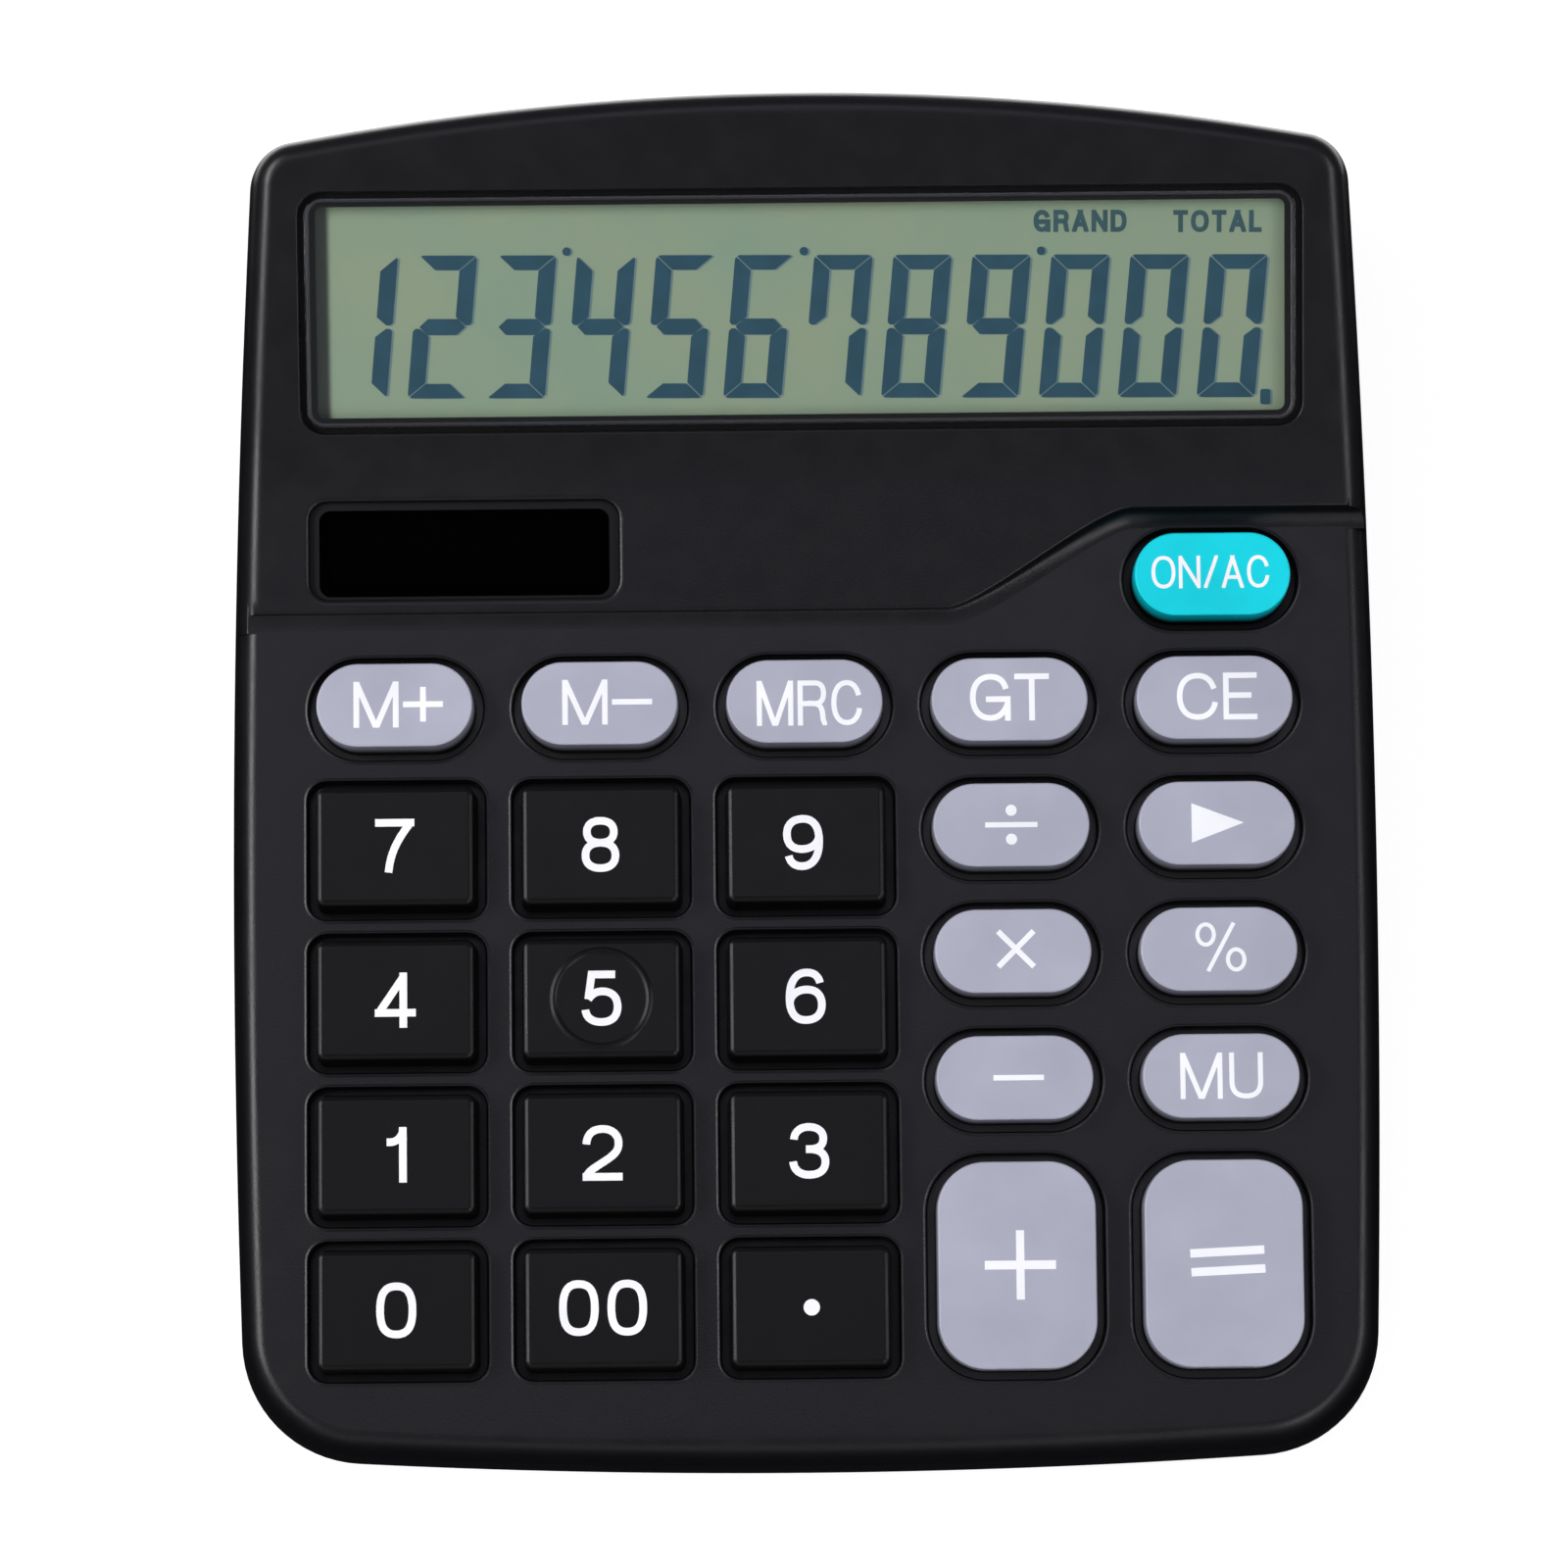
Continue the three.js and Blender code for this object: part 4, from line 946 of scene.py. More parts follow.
# Centrelines of the strokes in a unit square: M starts a stroke, L goes straight, C bends through two
# control points, and Z closes the stroke. A trailing + runs the stroke's ends past the square, to be trimmed.
GLYPHS = {
    "0": (0.72, "M .5 1 C .12 1 0 .82 0 .5 C 0 .18 .12 0 .5 0 C .88 0 1 .18 1 .5 C 1 .82 .88 1 .5 1 Z"),
    "1": (0.37, "M 1 0 L 1 1 + M 0 .765 L .16 .765 C .55 .765 .86 .83 1 .985"),
    "2": (0.72, "M 0 .68 C .02 .89 .2 1 .5 1 C .8 1 1 .88 1 .7 C 1 .5 .78 .42 .46 .28 C .2 .17 .04 .1 0 0 "
                "M 0 0 L 1 0 +"),
    "3": (0.72, "M .03 .74 C .05 .9 .22 1 .49 1 C .76 1 .94 .91 .94 .76 C .94 .6 .78 .535 .5 .535 L .4 .535 "
                "M .4 .535 L .5 .535 C .8 .535 1 .45 1 .275 C 1 .1 .82 0 .5 0 C .2 0 .02 .1 0 .28"),
    "4": (0.74, "M .74 0 L .74 1 + M .74 .985 L .02 .25 M 0 .235 L 1 .235 +"),
    "5": (0.72, "M .93 1 L .2 1 L .09 .48 C .22 .6 .34 .645 .52 .645 C .82 .645 1 .53 1 .325 "
                "C 1 .11 .81 0 .49 0 C .2 0 .02 .1 0 .26"),
    "6": (0.72, "M .95 .78 C .9 .93 .75 1 .54 1 C .17 1 0 .78 0 .46 C 0 .16 .17 0 .5 0 C .82 0 1 .12 1 .32 "
                "C 1 .53 .83 .64 .53 .64 M .54 .64 C .24 .64 .03 .53 0 .36"),
    "7": (0.71, "M 0 1 L 1 1 + M 1 1 C .68 .72 .36 .42 .3 -.05"),
    "8": (0.68, "M .5 1 C .22 1 .05 .92 .05 .765 C .05 .62 .22 .535 .5 .535 C .78 .535 .95 .62 .95 .765 "
                "C .95 .92 .78 1 .5 1 Z M .5 .535 C .18 .535 0 .44 0 .265 C 0 .1 .18 0 .5 0 "
                "C .82 0 1 .1 1 .265 C 1 .44 .82 .535 .5 .535 Z"),
    "9": (0.72, "M .05 .22 C .1 .07 .25 0 .46 0 C .83 0 1 .22 1 .54 C 1 .84 .83 1 .5 1 C .18 1 0 .88 0 .68 "
                "C 0 .47 .17 .36 .47 .36 M .46 .36 C .76 .36 .97 .47 1 .64"),
    "M": (0.95, "M 0 0 L 0 1 + M .02 1 L .5 -.07 + M .98 1 L .5 -.07 + M 1 0 L 1 1 +"),
    "R": (0.76, "M 0 0 L 0 1 + M 0 1 L .6 1 C .86 1 .97 .9 .97 .74 C .97 .58 .86 .485 .6 .485 L 0 .485 "
                "M .55 .485 C .98 .485 .9 .2 .96 .06 L 1 0 +"),
    "C": (0.8, "M .97 .68 C .9 .88 .75 1 .51 1 C .18 1 0 .8 0 .5 C 0 .2 .18 0 .51 0 C .78 0 .96 .14 1 .36"),
    "G": (0.82, "M .95 .7 C .9 .89 .75 1 .51 1 C .18 1 0 .8 0 .5 C 0 .2 .18 0 .5 0 C .74 0 .9 .12 .99 .33 "
                "M .54 .455 L 1 .455 L 1 0 +"),
    "T": (0.7, "M 0 1 L 1 1 + M .5 0 L .5 1 +"),
    "E": (0.66, "M 0 0 L 0 1 + M 0 1 L .97 1 + M 0 .52 L .9 .52 M 0 0 L 1 0 +"),
    "U": (0.76, "M 0 1.1 L 0 .36 C 0 .12 .16 0 .5 0 C .84 0 1 .12 1 .36 L 1 1.1"),
    "O": (0.86, "M .5 1 C .17 1 0 .8 0 .5 C 0 .2 .17 0 .5 0 C .83 0 1 .2 1 .5 C 1 .8 .83 1 .5 1 Z"),
    "N": (0.78, "M 0 0 L 0 1 + M .01 1 L .99 0 + M 1 0 L 1 1 +"),
    "A": (0.8, "M 0 -.03 L .5 1 + M 1 -.03 L .5 1 + M .17 .31 L .83 .31"),
    "D": (0.78, "M 0 0 L 0 1 + M 0 1 L .4 1 C .82 1 1 .82 1 .5 C 1 .18 .82 0 .4 0 L 0 0"),
    "L": (0.6, "M 0 0 L 0 1 + M 0 0 L 1 0 +"),
    "/": (0.52, "M 0 0 L 1 1 +"),
    "+": (0.84, "M 0 .5 L 1 .5 + M .5 .07 L .5 .93"),
    "-": (0.84, "M 0 .5 L 1 .5 +"),
}


def parse_strokes(text):
    """Splits a glyph's text into (points, closed, runs past) strokes."""
    strokes = []
    tokens = text.split()

    def point():
        return Vector((float(tokens.pop(0)), float(tokens.pop(0))))

    while tokens:
        command = tokens.pop(0)
        if command == "M":
            strokes.append([[point()], False, False])
        elif command == "L":
            strokes[-1][0].append(point())
        elif command == "C":
            knots = [strokes[-1][0][-1]] + [point() for _ in range(3)]
            strokes[-1][0] += [p.xy for p in interpolate_bezier(*[k.to_3d() for k in knots], 14)][1:]
        elif command == "Z":
            strokes[-1][0].pop()
            strokes[-1][1] = True
        else:
            strokes[-1][2] = True
    return strokes


def ribbon(points, width, closed, z0, z1):
    """A flat stroke of even width along points, with mitred bends."""
    rings = []
    count = len(points)
    for i, p in enumerate(points):
        before = points[i - 1] if closed or i else points[0]
        after = points[(i + 1) % count] if closed or i < count - 1 else points[-1]
        arriving = (p - before).normalized() if (p - before).length else (after - p).normalized()
        leaving = (after - p).normalized() if (after - p).length else arriving
        across = Vector((-arriving.y - leaving.y, arriving.x + leaving.x)).normalized()
        reach = width / 2 / max(across.dot(Vector((-leaving.y, leaving.x))), 0.5)
        a, b = p + across * reach, p - across * reach
        rings.append([(a.x, a.y, z0), (b.x, b.y, z0), (b.x, b.y, z1), (a.x, a.y, z1)])
    return skin(rings, closed=closed)


def split_at_corners(path, stroke):
    """Cuts an open path at its sharp corners. The cut ends run on, so that two strokes fill the corner."""
    pieces = []
    start = path[:1]
    for before, corner, after in zip(path, path[1:], path[2:]):
        start.append(corner)
        arriving, leaving = (corner - before).normalized(), (after - corner).normalized()
        turn = arriving.angle(leaving)
        if turn > radians(35):
            reach = stroke / 2 * tan(turn / 2) if turn < radians(100) else 0
            start[-1] = corner + arriving * reach
            pieces.append(start)
            start = [corner - leaving * reach]
    pieces.append(start + path[-1:])
    return pieces


def glyph(character, width, height, stroke, z0, z1):
    """One character with its lower left corner at the origin."""
    meshes = []
    for points, closed, runs_past in parse_strokes(GLYPHS[character][1]):
        half = stroke / 2
        path = [Vector((half + p.x * (width - stroke), half + p.y * (height - stroke))) for p in points]
        if runs_past:
            path[0] -= (path[1] - path[0]).normalized() * stroke
            path[-1] += (path[-1] - path[-2]).normalized() * stroke
        if closed:
            meshes.append(ribbon(path, stroke, True, z0, z1))
        else:
            meshes += [ribbon(piece, stroke, False, z0, z1) for piece in split_at_corners(path, stroke)]
    return combine(united(meshes), box(0, width, 0, height, z0 - 1, z1 + 1), "INTERSECT")


def lettering(text, width, height, stroke, gap, z0, z1):
    """A line of characters that fills width, centred on the origin."""
    shares = [GLYPHS[c][0] for c in text]
    unit = (width - gap * (len(text) - 1)) / sum(shares)
    x = -width / 2
    parts = []
    for character, share in zip(text, shares):
        part = glyph(character, share * unit, height, stroke, z0, z1)
        parts.append(moved(part, at(x, -height / 2)))
        x += share * unit + gap
    return joined(parts)


# ---------------------------------------------------------------- key legends

INK_BOTTOM = KEY_RISE - 0.01
INK_TOP = KEY_RISE + 0.015
FIGURE_HEIGHT = 5.7
FIGURE_STROKE = 0.79
RING_RADIUS = 4.95
RING_HALF_WIDTH = 0.42
RING_HEIGHT = 0.18


def bars(*spans):
    """Ink plates from (x0, x1, y0, y1) spans, united."""
    return united([box(x0, x1, y0, y1, INK_BOTTOM, INK_TOP) for x0, x1, y0, y1 in spans])


def ink(text, width, height, stroke, gap=0.6):
    return lettering(text, width, height, stroke, gap, INK_BOTTOM, INK_TOP)


def divide_sign():
    dots = [bar(0.58, INK_BOTTOM, INK_TOP, x=0, y=s * 1.5) for s in (-1, 1)]
    return joined([bars((-2.7, 2.7, -0.27, 0.27))] + dots)


def multiply_sign():
    arm = bars((-2.6, 2.6, -0.29, 0.29))
    return combine(moved(arm, spin(pi / 4)), moved(arm, spin(-pi / 4)), "UNION")


def equals_sign():
    """Two bars, printed a little askew."""
    pair = joined([bars((-3.8, 3.8, 0.53, 1.4)), bars((-3.8, 3.8, -1.4, -0.53))])
    return moved(pair, spin(radians(2.5)))


def percent_sign():
    parts = [ribbon([Vector((-1.35, -2.5)), Vector((1.35, 2.5))], 0.42, False, INK_BOTTOM, INK_TOP)]
    for s in (-1, 1):
        turns = spread(0, 2 * pi, 24)[:-1]
        loop = [Vector((s * 1.55 + 0.85 * cos(a), s * -1.3 + 1.05 * sin(a))) for a in turns]
        parts.append(ribbon(loop, 0.42, True, INK_BOTTOM, INK_TOP))
    return united(parts)


def finger_ring():
    """The raised ring round the 5 key's legend, for the finger to find."""
    rings = []
    for t in spread(-1, 1, 12):
        rise = RING_HEIGHT * (sqrt(1.05) - sqrt(t * t + 0.05))
        rings.append(circle(RING_RADIUS + RING_HALF_WIDTH * t, INK_BOTTOM + rise, 96))
    rings += [circle(RING_RADIUS + t * RING_HALF_WIDTH, KEY_RISE - 0.3, 96) for t in (1, -1)]
    return skin(rings, closed=True)


def figure(text, width, gap=0.6):
    """Figures for a black key."""
    return ink(text, width, FIGURE_HEIGHT, FIGURE_STROKE, gap)


# Each key's legend, and how far to the right and to the rear of the key's middle it is printed.
LEGENDS = {n: (figure(n, GLYPHS[n][0] * FIGURE_HEIGHT), 0, 0) for n in "0123456789"}
LEGENDS.update({
    "1": (figure("1", 2.45), -0.1, 0),
    "6": (LEGENDS["6"][0], -0.2, 0),
    "9": (LEGENDS["9"][0], -0.3, 0),
    "00": (figure("00", 9.0, 0.9), -0.05, 0.05),
    "point": (bar(0.84, INK_BOTTOM, INK_TOP), 0.1, -0.1),
    "memory_plus": (ink("M+", 9.25, 4.8, 0.6, 0.45), 0.4, 0.05),
    "memory_minus": (ink("M-", 9.3, 4.7, 0.58, 0.45), 0.8, 0.1),
    "memory_recall": (ink("MRC", 10.9, 4.7, 0.54, 0.45), 0.5, -0.2),
    "grand_total": (ink("GT", 8.2, 4.9, 0.6, 0.4), 0, 0.2),
    "clear_entry": (ink("CE", 8.3, 4.9, 0.58, 0.55), 0.25, 0.1),
    "divide": (divide_sign(), 0, 0),
    "backspace": (prism([(-2.7, -2.05), (2.7, 0), (-2.7, 2.05)], INK_BOTTOM, INK_TOP), 0.1, 0),
    "multiply": (multiply_sign(), 0.3, 0.2),
    "percent": (percent_sign(), 0.2, 0.2),
    "minus": (bars((-2.6, 2.6, -0.28, 0.28)), 0.4, 0),
    "markup": (ink("MU", 8.5, 4.75, 0.52, 0.7), 0.05, 0),
    "plus": (bars((-3.65, 3.65, -0.45, 0.45), (-0.42, 0.42, -3.55, 3.55)), 0.3, 0),
    "equals": (equals_sign(), 0.35, 0.2),
    "on": (ink("ON/AC", 12.2, 3.4, 0.38, 0.35), -0.2, 0.2),
})

for kind in (SQUARE, OVAL, TALL):
    kind["cap"] = key_cap(kind)
for key in KEYS:
    name = key["name"]
    place = on_keypad(key["x"], key["y"])
    cap = key["kind"]["cap"]
    if name == "5":
        cap = combine(cap, finger_ring(), "UNION")
    body = "key_" + name
    add_piece("cap_" + name, cap, KEY_MATERIALS[key["slot"]], body, ["key_" + name], place)
    legend, x, y = LEGENDS[name]
    add_piece("legend_" + name, legend, white_ink, body, (), place @ at(x, y))

# ---------------------------------------------------------------- display

LENS_BOTTOM = -LENS_SEAT + GAP
LENS_INSET = 0.1
RIM_OUTER = 0.15
RIM_INNER = 0.75

LENS_PROFILE = [(-LENS_INSET - 0.1, LENS_BOTTOM), (-LENS_INSET, LENS_BOTTOM + 0.1), (-LENS_INSET, -0.4),
                (-LENS_INSET - 0.12, -0.18), (-LENS_INSET - 0.35, -0.1)]


def lens_rim():
    """A rounded rib behind the lens, close inside its edge."""
    rings = []
    for a in spread(0, pi, 8):
        inward = RIM_OUTER + (RIM_INNER - RIM_OUTER) * (1 - cos(a)) / 2
        rings.append(size_ring(LENS, -inward, LENS_BOTTOM - 0.28 + 0.26 * sin(a) ** 0.8, 10))
    return skin(rings, closed=True)


def flat_frame(outside, inside, z0, z1):
    """A flat frame between two (size, grow) rounded rectangles."""
    return combine(block(*outside, z0, z1, 10), block(*inside, z0 - 1, z1 + 1, 10), "DIFFERENCE")


def lcd_glass():
    """Two plates of glass, the front one shorter along its lower edge."""
    side = LCD["width"] / 2
    rear = LCD["height"] / 2
    middle = -LCD["depth"] - LCD["thickness"] / 2
    front_plate = box(-side, side, 1.6 - rear, rear, middle, -LCD["depth"])
    rear_plate = box(-side, side, -rear, rear, -LCD["depth"] - LCD["thickness"], middle + 0.01)
    return combine(front_plate, rear_plate, "UNION")


def add_display(name, mesh, material, replaced=(), matrix=DISPLAY_FRAME):
    """Adds a piece of the display, which is fixed in the casing."""
    return add_piece(name, mesh, material, "casing", replaced, matrix)


display_lens = skin([size_ring(LENS, grow, z, 10) for grow, z in LENS_PROFILE])
gasket = flat_frame((LENS, 0.38), (WINDOW, -0.02), -LENS_SEAT - 0.01, -LENS_SEAT + 0.05)
border = flat_frame((LENS, 0.02 - RIM_INNER), (WINDOW, -0.03), LENS_BOTTOM - 0.12, LENS_BOTTOM - 0.03)
add_display("lens", display_lens, acrylic, ["display_lens"])
add_display("lens_rim", lens_rim(), rim_plastic)
add_display("lens_gasket", gasket, dull_black)
add_display("lens_border", border, dull_black)
add_display("lcd_glass", lcd_glass(), lcd_ground, ["lcd_panel"])

SEGMENT_BOTTOM = -LCD["depth"] - 0.01
SEGMENT_TOP = -LCD["depth"] + 0.02
SHADOW_TOP = -LCD["depth"] + 0.008
DIGIT_WIDTH = 6.2
DIGIT_HEIGHT = 15.0
DIGIT_PITCH = 8.235
LAST_DIGIT_X = 45.03
DIGIT_MIDDLE_V = -1.9
UPRIGHT_SEGMENT = 1.85
LEVEL_SEGMENT = 1.65
MIDDLE_SEGMENT = 1.8
SEGMENT_GAP = 0.12
SEGMENT_CORNER = 0.6
SLANT = tan(radians(5))
GROUP_TILT = radians(-0.43)
DIGIT_SEGMENTS = {
    "1": "bc", "2": "abged", "3": "abgcd", "4": "fgbc", "5": "afgcd", "6": "afgedc", "7": "fabc",
    "8": "abcdefg", "9": "gfabcd", "0": "abcdef",
}


def inset_outline(points, amount):
    """A convex anticlockwise outline with every side moved in by amount."""
    count = len(points)
    out = []
    for i, p in enumerate(points):
        before, after = points[i - 1], points[(i + 1) % count]
        n1 = Vector((-(p - before).y, (p - before).x)).normalized()
        n2 = Vector((-(after - p).y, (after - p).x)).normalized()
        across = (n1 + n2).normalized()
        out.append(p + across * amount / max(across.dot(n1), 0.4))
    return out


def segment_outlines():
    """The seven segments of an upright digit about its own middle, each anticlockwise."""
    side = DIGIT_WIDTH / 2
    top = DIGIT_HEIGHT / 2
    half_middle = MIDDLE_SEGMENT / 2
    inner_x = side - UPRIGHT_SEGMENT
    inner_y = top - LEVEL_SEGMENT

    def corner(start, end):
        r = SEGMENT_CORNER
        angles = spread(radians(start), radians(end), 3)
        return [Vector((side - r + r * cos(a), top - r + r * sin(a))) for a in angles]

    def flipped(points, sx, sy):
        out = [Vector((sx * p.x, sy * p.y)) for p in points]
        return out if sx * sy > 0 else out[::-1]

    right = corner(45, 90)
    level = [Vector((inner_x, inner_y))] + right + flipped(right, -1, 1) + [Vector((-inner_x, inner_y))]
    foot = [(inner_x, half_middle + 0.1), (side - 0.75, 0.12), (side - 0.28, 0.12), (side, 0.45)]
    upright = [Vector(p) for p in foot] + corner(0, 45) + [Vector((inner_x, inner_y))]
    tip = side - 0.62
    flank = tip - half_middle
    middle = [(-tip, 0), (-flank, -half_middle), (flank, -half_middle), (tip, 0), (flank, half_middle),
              (-flank, half_middle)]
    return {
        "a": level, "b": upright, "c": flipped(upright, 1, -1), "d": flipped(level, 1, -1),
        "e": flipped(upright, -1, -1), "f": flipped(upright, -1, 1), "g": [Vector(p) for p in middle],
    }


def display_digits(bottom, top):
    """The twelve digits with their raised marks and decimal point, as plates from bottom to top."""
    outlines = segment_outlines()
    plates = []
    for i, digit in enumerate("123456789000"):
        x = LAST_DIGIT_X - (11 - i) * DIGIT_PITCH
        for name in DIGIT_SEGMENTS[digit]:
            outline = inset_outline(outlines[name], SEGMENT_GAP / 2)
            plates.append(prism([(x + p.x + p.y * SLANT, p.y) for p in outline], bottom, top))
        if digit in "369" and i < 9:
            plates.append(bar(0.45, bottom, top, 24, x + DIGIT_WIDTH / 2 + 1.65, DIGIT_HEIGHT / 2 + 0.32))
    point = block({"width": 1.06, "height": 1.6, "radius": 0.25}, 0, bottom, top)
    plates.append(moved(point, at(LAST_DIGIT_X + 3.5, -DIGIT_HEIGHT / 2 + 0.1)))
    return joined(plates)


DIGIT_FRAME = DISPLAY_FRAME @ spin(GROUP_TILT) @ at(0, DIGIT_MIDDLE_V)
digits = display_digits(SEGMENT_BOTTOM, SEGMENT_TOP)
# Painted shadow: a lower copy of the digits, set a little right and towards the front, under the segments.
shadows = display_digits(SEGMENT_BOTTOM, SHADOW_TOP)
add_display("lcd_digits", digits, lcd_segment, (), DIGIT_FRAME)
add_display("lcd_shadows", shadows, lcd_shadow, (), DIGIT_FRAME @ at(0.24, -0.05))
for word, x, v, width in (("GRAND", 29.2, 8.8, 9.7), ("TOTAL", 43.5, 8.65, 9.2)):
    sign = lettering(word, width, 2.3, 0.5, 0.3, SEGMENT_BOTTOM, SEGMENT_TOP)
    place = DISPLAY_FRAME @ at(x, v) @ spin(GROUP_TILT)
    add_display("lcd_" + word.lower(), sign, lcd_indicator, (), place)

# ---------------------------------------------------------------- solar cell, keypad sheet, screws and feet

PANE = {"width": SOLAR_OPENING["width"] - 2 * GAP, "height": SOLAR_OPENING["height"] - 2 * GAP}
window_pane = skin([
    rounded_ring(PANE["width"] + 2 * g, PANE["height"] + 2 * g, SOLAR_OPENING["radius"], z)
    for g, z in ((0, -WALL + 0.2), (0, -SOLAR_SEAT - 0.25), (-0.15, -SOLAR_SEAT - 0.1))
])
add_piece("solar_pane", window_pane, smoked_acrylic, "casing", ["solar_window"], SOLAR_FRAME)
bezel = flat_frame((SOLAR_RECESS, -0.04), (SOLAR_OPENING, -0.02), -SOLAR_SEAT - 0.01, -SOLAR_SEAT + 0.12)
add_piece("solar_bezel", bezel, bezel_black, "casing", (), SOLAR_FRAME)
# The solar window's border: a near-black print, set towards the front so that its extra width along the lower
# edge paints the shade there.
border = flat_frame((SOLAR_OPENING, 0.4), (SOLAR_OPENING, -0.6), -SOLAR_SEAT + 0.12, -SOLAR_SEAT + 0.16)
border = moved(border, at(0, -0.25))
add_piece("solar_border", border, border_print_and_shade, "casing", (), SOLAR_FRAME)


def keypad_sheet():
    """The rubber sheet under the keys, with a tab that reaches back under the ON/AC key."""
    side, front, shoulder, rear, tab = 51.6, -59.3, 13.4, 26.3, 31.5
    outline = [(-side, front), (side, front), (side, rear), (tab, rear), (tab, shoulder), (-side, shoulder)]
    sheet = prism([(x, y / cos(KEYPAD.angle)) for x, y in outline], -SHEET_BOTTOM, -SHEET_TOP)
    spots = [(x, y / cos(KEYPAD.angle)) for x, y in BOARD_SCREW_SPOTS]
    return combine(sheet, pegs(2.1, -9, 0, spots, 24), "DIFFERENCE")


add_piece("keypad_sheet", keypad_sheet(), silicone, "casing", ["rubber_keypad"], KEYPAD_FRAME)
rise = SHEET_TOP - DOME_TOP
dome = turned([
    (0, 0.02), (3.4, 0.02), (3.3, 0.25), (2.9, 0.5),
    (2.5, rise - 0.35), (2.3, rise - 0.1), (2.0, rise), (0, rise),
])
for key in KEYS:
    place = on_keypad(key["x"], key["y"]) @ at(0, 0, -SHEET_TOP)
    piece = add_piece("dome_" + key["name"], dome, silicone, "casing", (), place)
    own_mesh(piece)


def casing_screw():
    """A pan-head screw that points up, with a cross recess in its head."""
    body = turned([
        (0, 0), (1.3, 0), (1.85, 0.15), (2.15, 0.5), (2.2, 0.8), (2.2, 1.3),
        (0.95, 1.3), (0.95, 7.3), (0, 8.2),
    ])
    sections = [(1.35, 0.28, -0.2), (1.25, 0.26, 0.0), (0.7, 0.2, 0.9)]
    arm = skin([[(-x, -y, z), (x, -y, z), (x, y, z), (-x, y, z)] for x, y, z in sections])
    return cut(body, [arm, moved(arm, spin(pi / 2))])


screw = casing_screw()
for i, (x, y) in enumerate(SCREW_SPOTS):
    place = at(x, y, FOOT + 0.3) @ spin(0.4 + i)
    add_piece(f"screw_{i + 1}", screw, zinc, "casing", [f"casing_screw_{i + 1}"], place)

foot = turned([
    (0, 0), (3.6, 0), (4.1, 0.12), (4.4, 0.4),
    (FOOT_RADIUS, 0.8), (FOOT_RADIUS, FOOT + GAP), (0, FOOT + GAP),
])
for i, (x, y) in enumerate(FOOT_SPOTS):
    add_piece(f"pad_{i + 1}", foot, foot_rubber, "casing", [f"foot_{i + 1}"], at(x, y))

# ---------------------------------------------------------------- battery

ALONG_X = at(CELL_START_X, CELL_Y, CELL_Z) @ Matrix.Rotation(pi / 2, 4, "Y")
SPRING_TURNS = 3


def cell_can(end):
    """A can of length end, with its raised terminal at the far end."""
    base = [(0, 0), (5.6, 0), (6.3, 0.15), (6.75, 0.45), (6.95, 0.9)]
    shoulder = [(6.95, end - 1.5), (6.5, end - 1.05), (5.8, end - 0.9)]
    terminal = [(2.9, end - 0.9), (2.7, end - 0.8), (2.7, end - 0.2), (2.5, end), (0, end)]
    return turned(base + shoulder + terminal)


def cell_wrap(end):
    """The sleeve round the can, short of both its ends."""
    outside = bar(CELL_RADIUS, 0.9, end - 1.6, 64)
    return combine(outside, bar(CELL_RADIUS - 0.12, 0, end, 64), "DIFFERENCE")


def contact_spring():
    """A conical coil that narrows towards the cell."""
    coil = []
    for share in spread(0, 1, SPRING_TURNS * 40):
        angle = 2 * pi * SPRING_TURNS * share
        radius = 4.6 - 2 * share
        x = -BAY_HALF_X + 0.7 + 3.6 * share
        coil.append((x, CELL_Y + radius * cos(angle), CELL_Z + radius * sin(angle)))
    return tube(coil, 0.35)


add_piece("cell_can", cell_can(CELL_LENGTH), nickel, "casing", ["battery_cell"], ALONG_X)
add_piece("cell_wrap", cell_wrap(CELL_LENGTH), sleeve, "casing", (), ALONG_X)
add_piece("contact_spring", contact_spring(), nickel, "casing", ["battery_spring"])

# ---------------------------------------------------------------- carried-over nodes

CARRIED = [
    (board_laminate, ["circuit_board"]),
    (epoxy, ["controller_chip"]),
    (pearl_film, ["lcd_reflector"]),
    (white_plastic, ["display_holder"]),
    (amber_film, ["display_film"]),
    (solar_black, ["solar_cell"]),
    (wire_red, ["solar_lead_red", "battery_lead_red"]),
    (wire_black, ["solar_lead_black", "battery_lead_black"]),
    (nickel, ["battery_plate"]),
    (zinc, ["board_screw_1", "board_screw_2", "board_screw_3", "board_screw_4"]),
]
for material, names in CARRIED:
    for name in names:
        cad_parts[name].data.materials.clear()
        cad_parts[name].data.materials.append(material)

# ---------------------------------------------------------------- floor, lights and camera


def stage_piece(name, mesh, grey, roughness, glow, unseen):
    """A glowing part of the studio, in metres, that the unseen kinds of ray pass through."""
    shader = Shader(name, (grey, grey, grey), roughness, Emission_Color=(1, 1, 1, 1), Emission_Strength=glow)
    shader.rough(shader.noise(40), roughness - 0.05, roughness + 0.05)
    mesh.materials.append(shader.material)
    item = placed(name, mesh)
    for ray in unseen:
        setattr(item, "visible_" + ray, False)


# Area lights that face the calculator: azimuth anticlockwise from +X and elevation, both in degrees, then
# distance, width and height in metres, and power.
LIGHTS = {
    "left_box": (176, 51, 1.0, 0.55, 0.22, 5.8),
    "right_box": (-13, 50, 1.2, 0.5, 0.3, 2.4),
    "front_box": (-57, 49, 1.2, 0.25, 0.2, 1.3),
    "front_card": (-88, 42, 1.2, 1.4, 0.42, 1.1),
    "corner_box": (-144, 50, 1.2, 0.45, 0.2, 1.0),
}


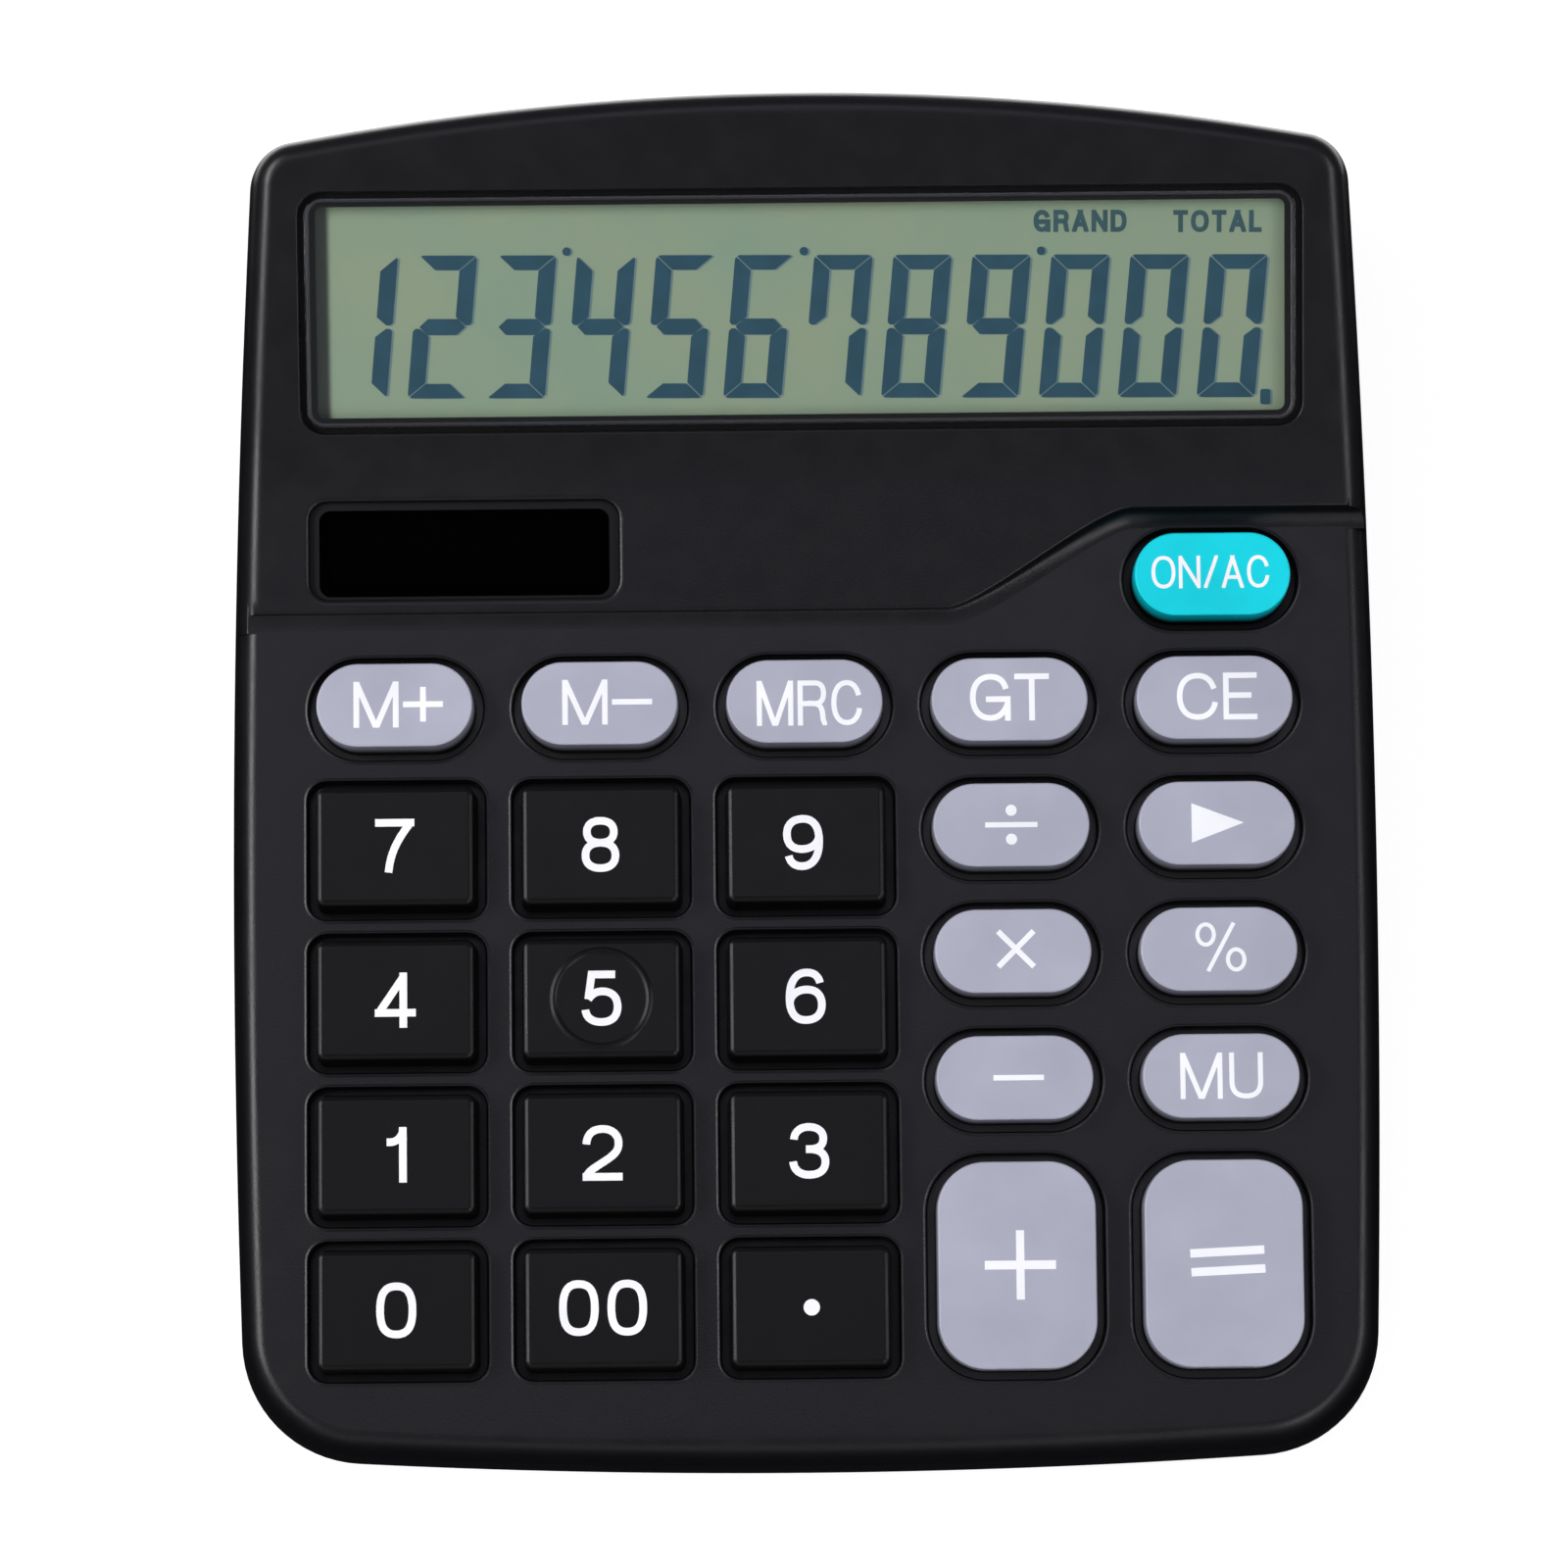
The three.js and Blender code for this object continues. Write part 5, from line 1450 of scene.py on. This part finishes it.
def softbox(name, azimuth, elevation, distance, width, height, power):
    """An area light that faces the calculator."""
    lamp = bpy.data.lights.new(name, "AREA")
    lamp.shape = "RECTANGLE"
    lamp.size = width
    lamp.size_y = height
    lamp.energy = power
    item = placed(name, lamp)
    a = radians(azimuth)
    e = radians(elevation)
    toward = Vector((cos(a) * cos(e), sin(a) * cos(e), sin(e)))
    item.location = toward * distance + Vector((0, 0, 0.02))
    item.rotation_euler = toward.to_track_quat("Z", "Y").to_euler()


# The sky's brightness at each cosine of the angle from its brightest direction, which is tilted to the rear.
SKY = [(0, 0.01), (0.25, 0.12), (0.848, 0.27), (0.974, 0.32), (0.987, 1.4)]
SKY_TILT = radians(8)
SKY_BLUE = 1.18


def sky():
    """A world that is brightest overhead and nearly dark at the horizon."""
    world = bpy.data.worlds.new("studio")
    bpy.context.scene.world = world
    world.use_nodes = True
    nodes, links = world.node_tree.nodes, world.node_tree.links
    background = nodes["Background"]
    place = nodes.new("ShaderNodeTexCoord")
    toward = nodes.new("ShaderNodeVectorMath")
    toward.operation = "DOT_PRODUCT"
    toward.inputs[1].default_value = (0, sin(SKY_TILT), cos(SKY_TILT))
    ramp = nodes.new("ShaderNodeValToRGB")
    stops = ramp.color_ramp.elements
    while len(stops) < len(SKY):
        stops.new(0.5)
    for stop, (position, level) in zip(stops, SKY):
        stop.position = position
        stop.color = (level, level, SKY_BLUE * level, 1)
    links.new(place.outputs["Generated"], toward.inputs[0])
    links.new(toward.outputs["Value"], ramp.inputs["Fac"])
    links.new(ramp.outputs["Color"], background.inputs["Color"])


CAMERA_TARGET = Vector((-0.0022, -0.001476, 0.020))
CAMERA_DISTANCE = 0.7
CAMERA_ELEVATION = radians(78.266)
CAMERA_AZIMUTH = radians(-1.016)
CAMERA_ROLL = radians(0.444)
CAMERA_LENS = 155.27


def photo_camera():
    """A camera at the view in which the calculator is shown."""
    elevation, azimuth, roll = CAMERA_ELEVATION, CAMERA_AZIMUTH, CAMERA_ROLL
    back = Vector((sin(azimuth) * cos(elevation), -cos(azimuth) * cos(elevation), sin(elevation)))
    right = Vector((cos(azimuth), sin(azimuth), 0))
    up = back.cross(right)
    across = right * cos(roll) + up * sin(roll)
    upward = up * cos(roll) - right * sin(roll)
    data = bpy.data.cameras.new("camera")
    data.lens = CAMERA_LENS
    data.sensor_width = 36
    data.clip_start = 0.01
    camera = placed("camera", data)
    turn = Matrix((across, upward, back)).transposed().to_4x4()
    camera.matrix_world = Matrix.Translation(CAMERA_TARGET + back * CAMERA_DISTANCE) @ turn
    bpy.context.scene.camera = camera


stage_piece("floor", box(-1.5, 1.5, -1.5, 1.5, -0.01, -0.0002), 0.3, 0.7, 0.85, ["glossy"])
# A white card on the floor behind the casing, seen only in its gloss.
stage_piece("rear_card", box(-0.5, 0.5, 0.09, 0.7, 0.0, 0.0004), 0.9, 0.6, 3,
            ["camera", "diffuse", "transmission", "shadow"])
for name, setup in LIGHTS.items():
    softbox(name, *setup)
sky()
photo_camera()
bpy.context.scene.view_settings.view_transform = "Standard"
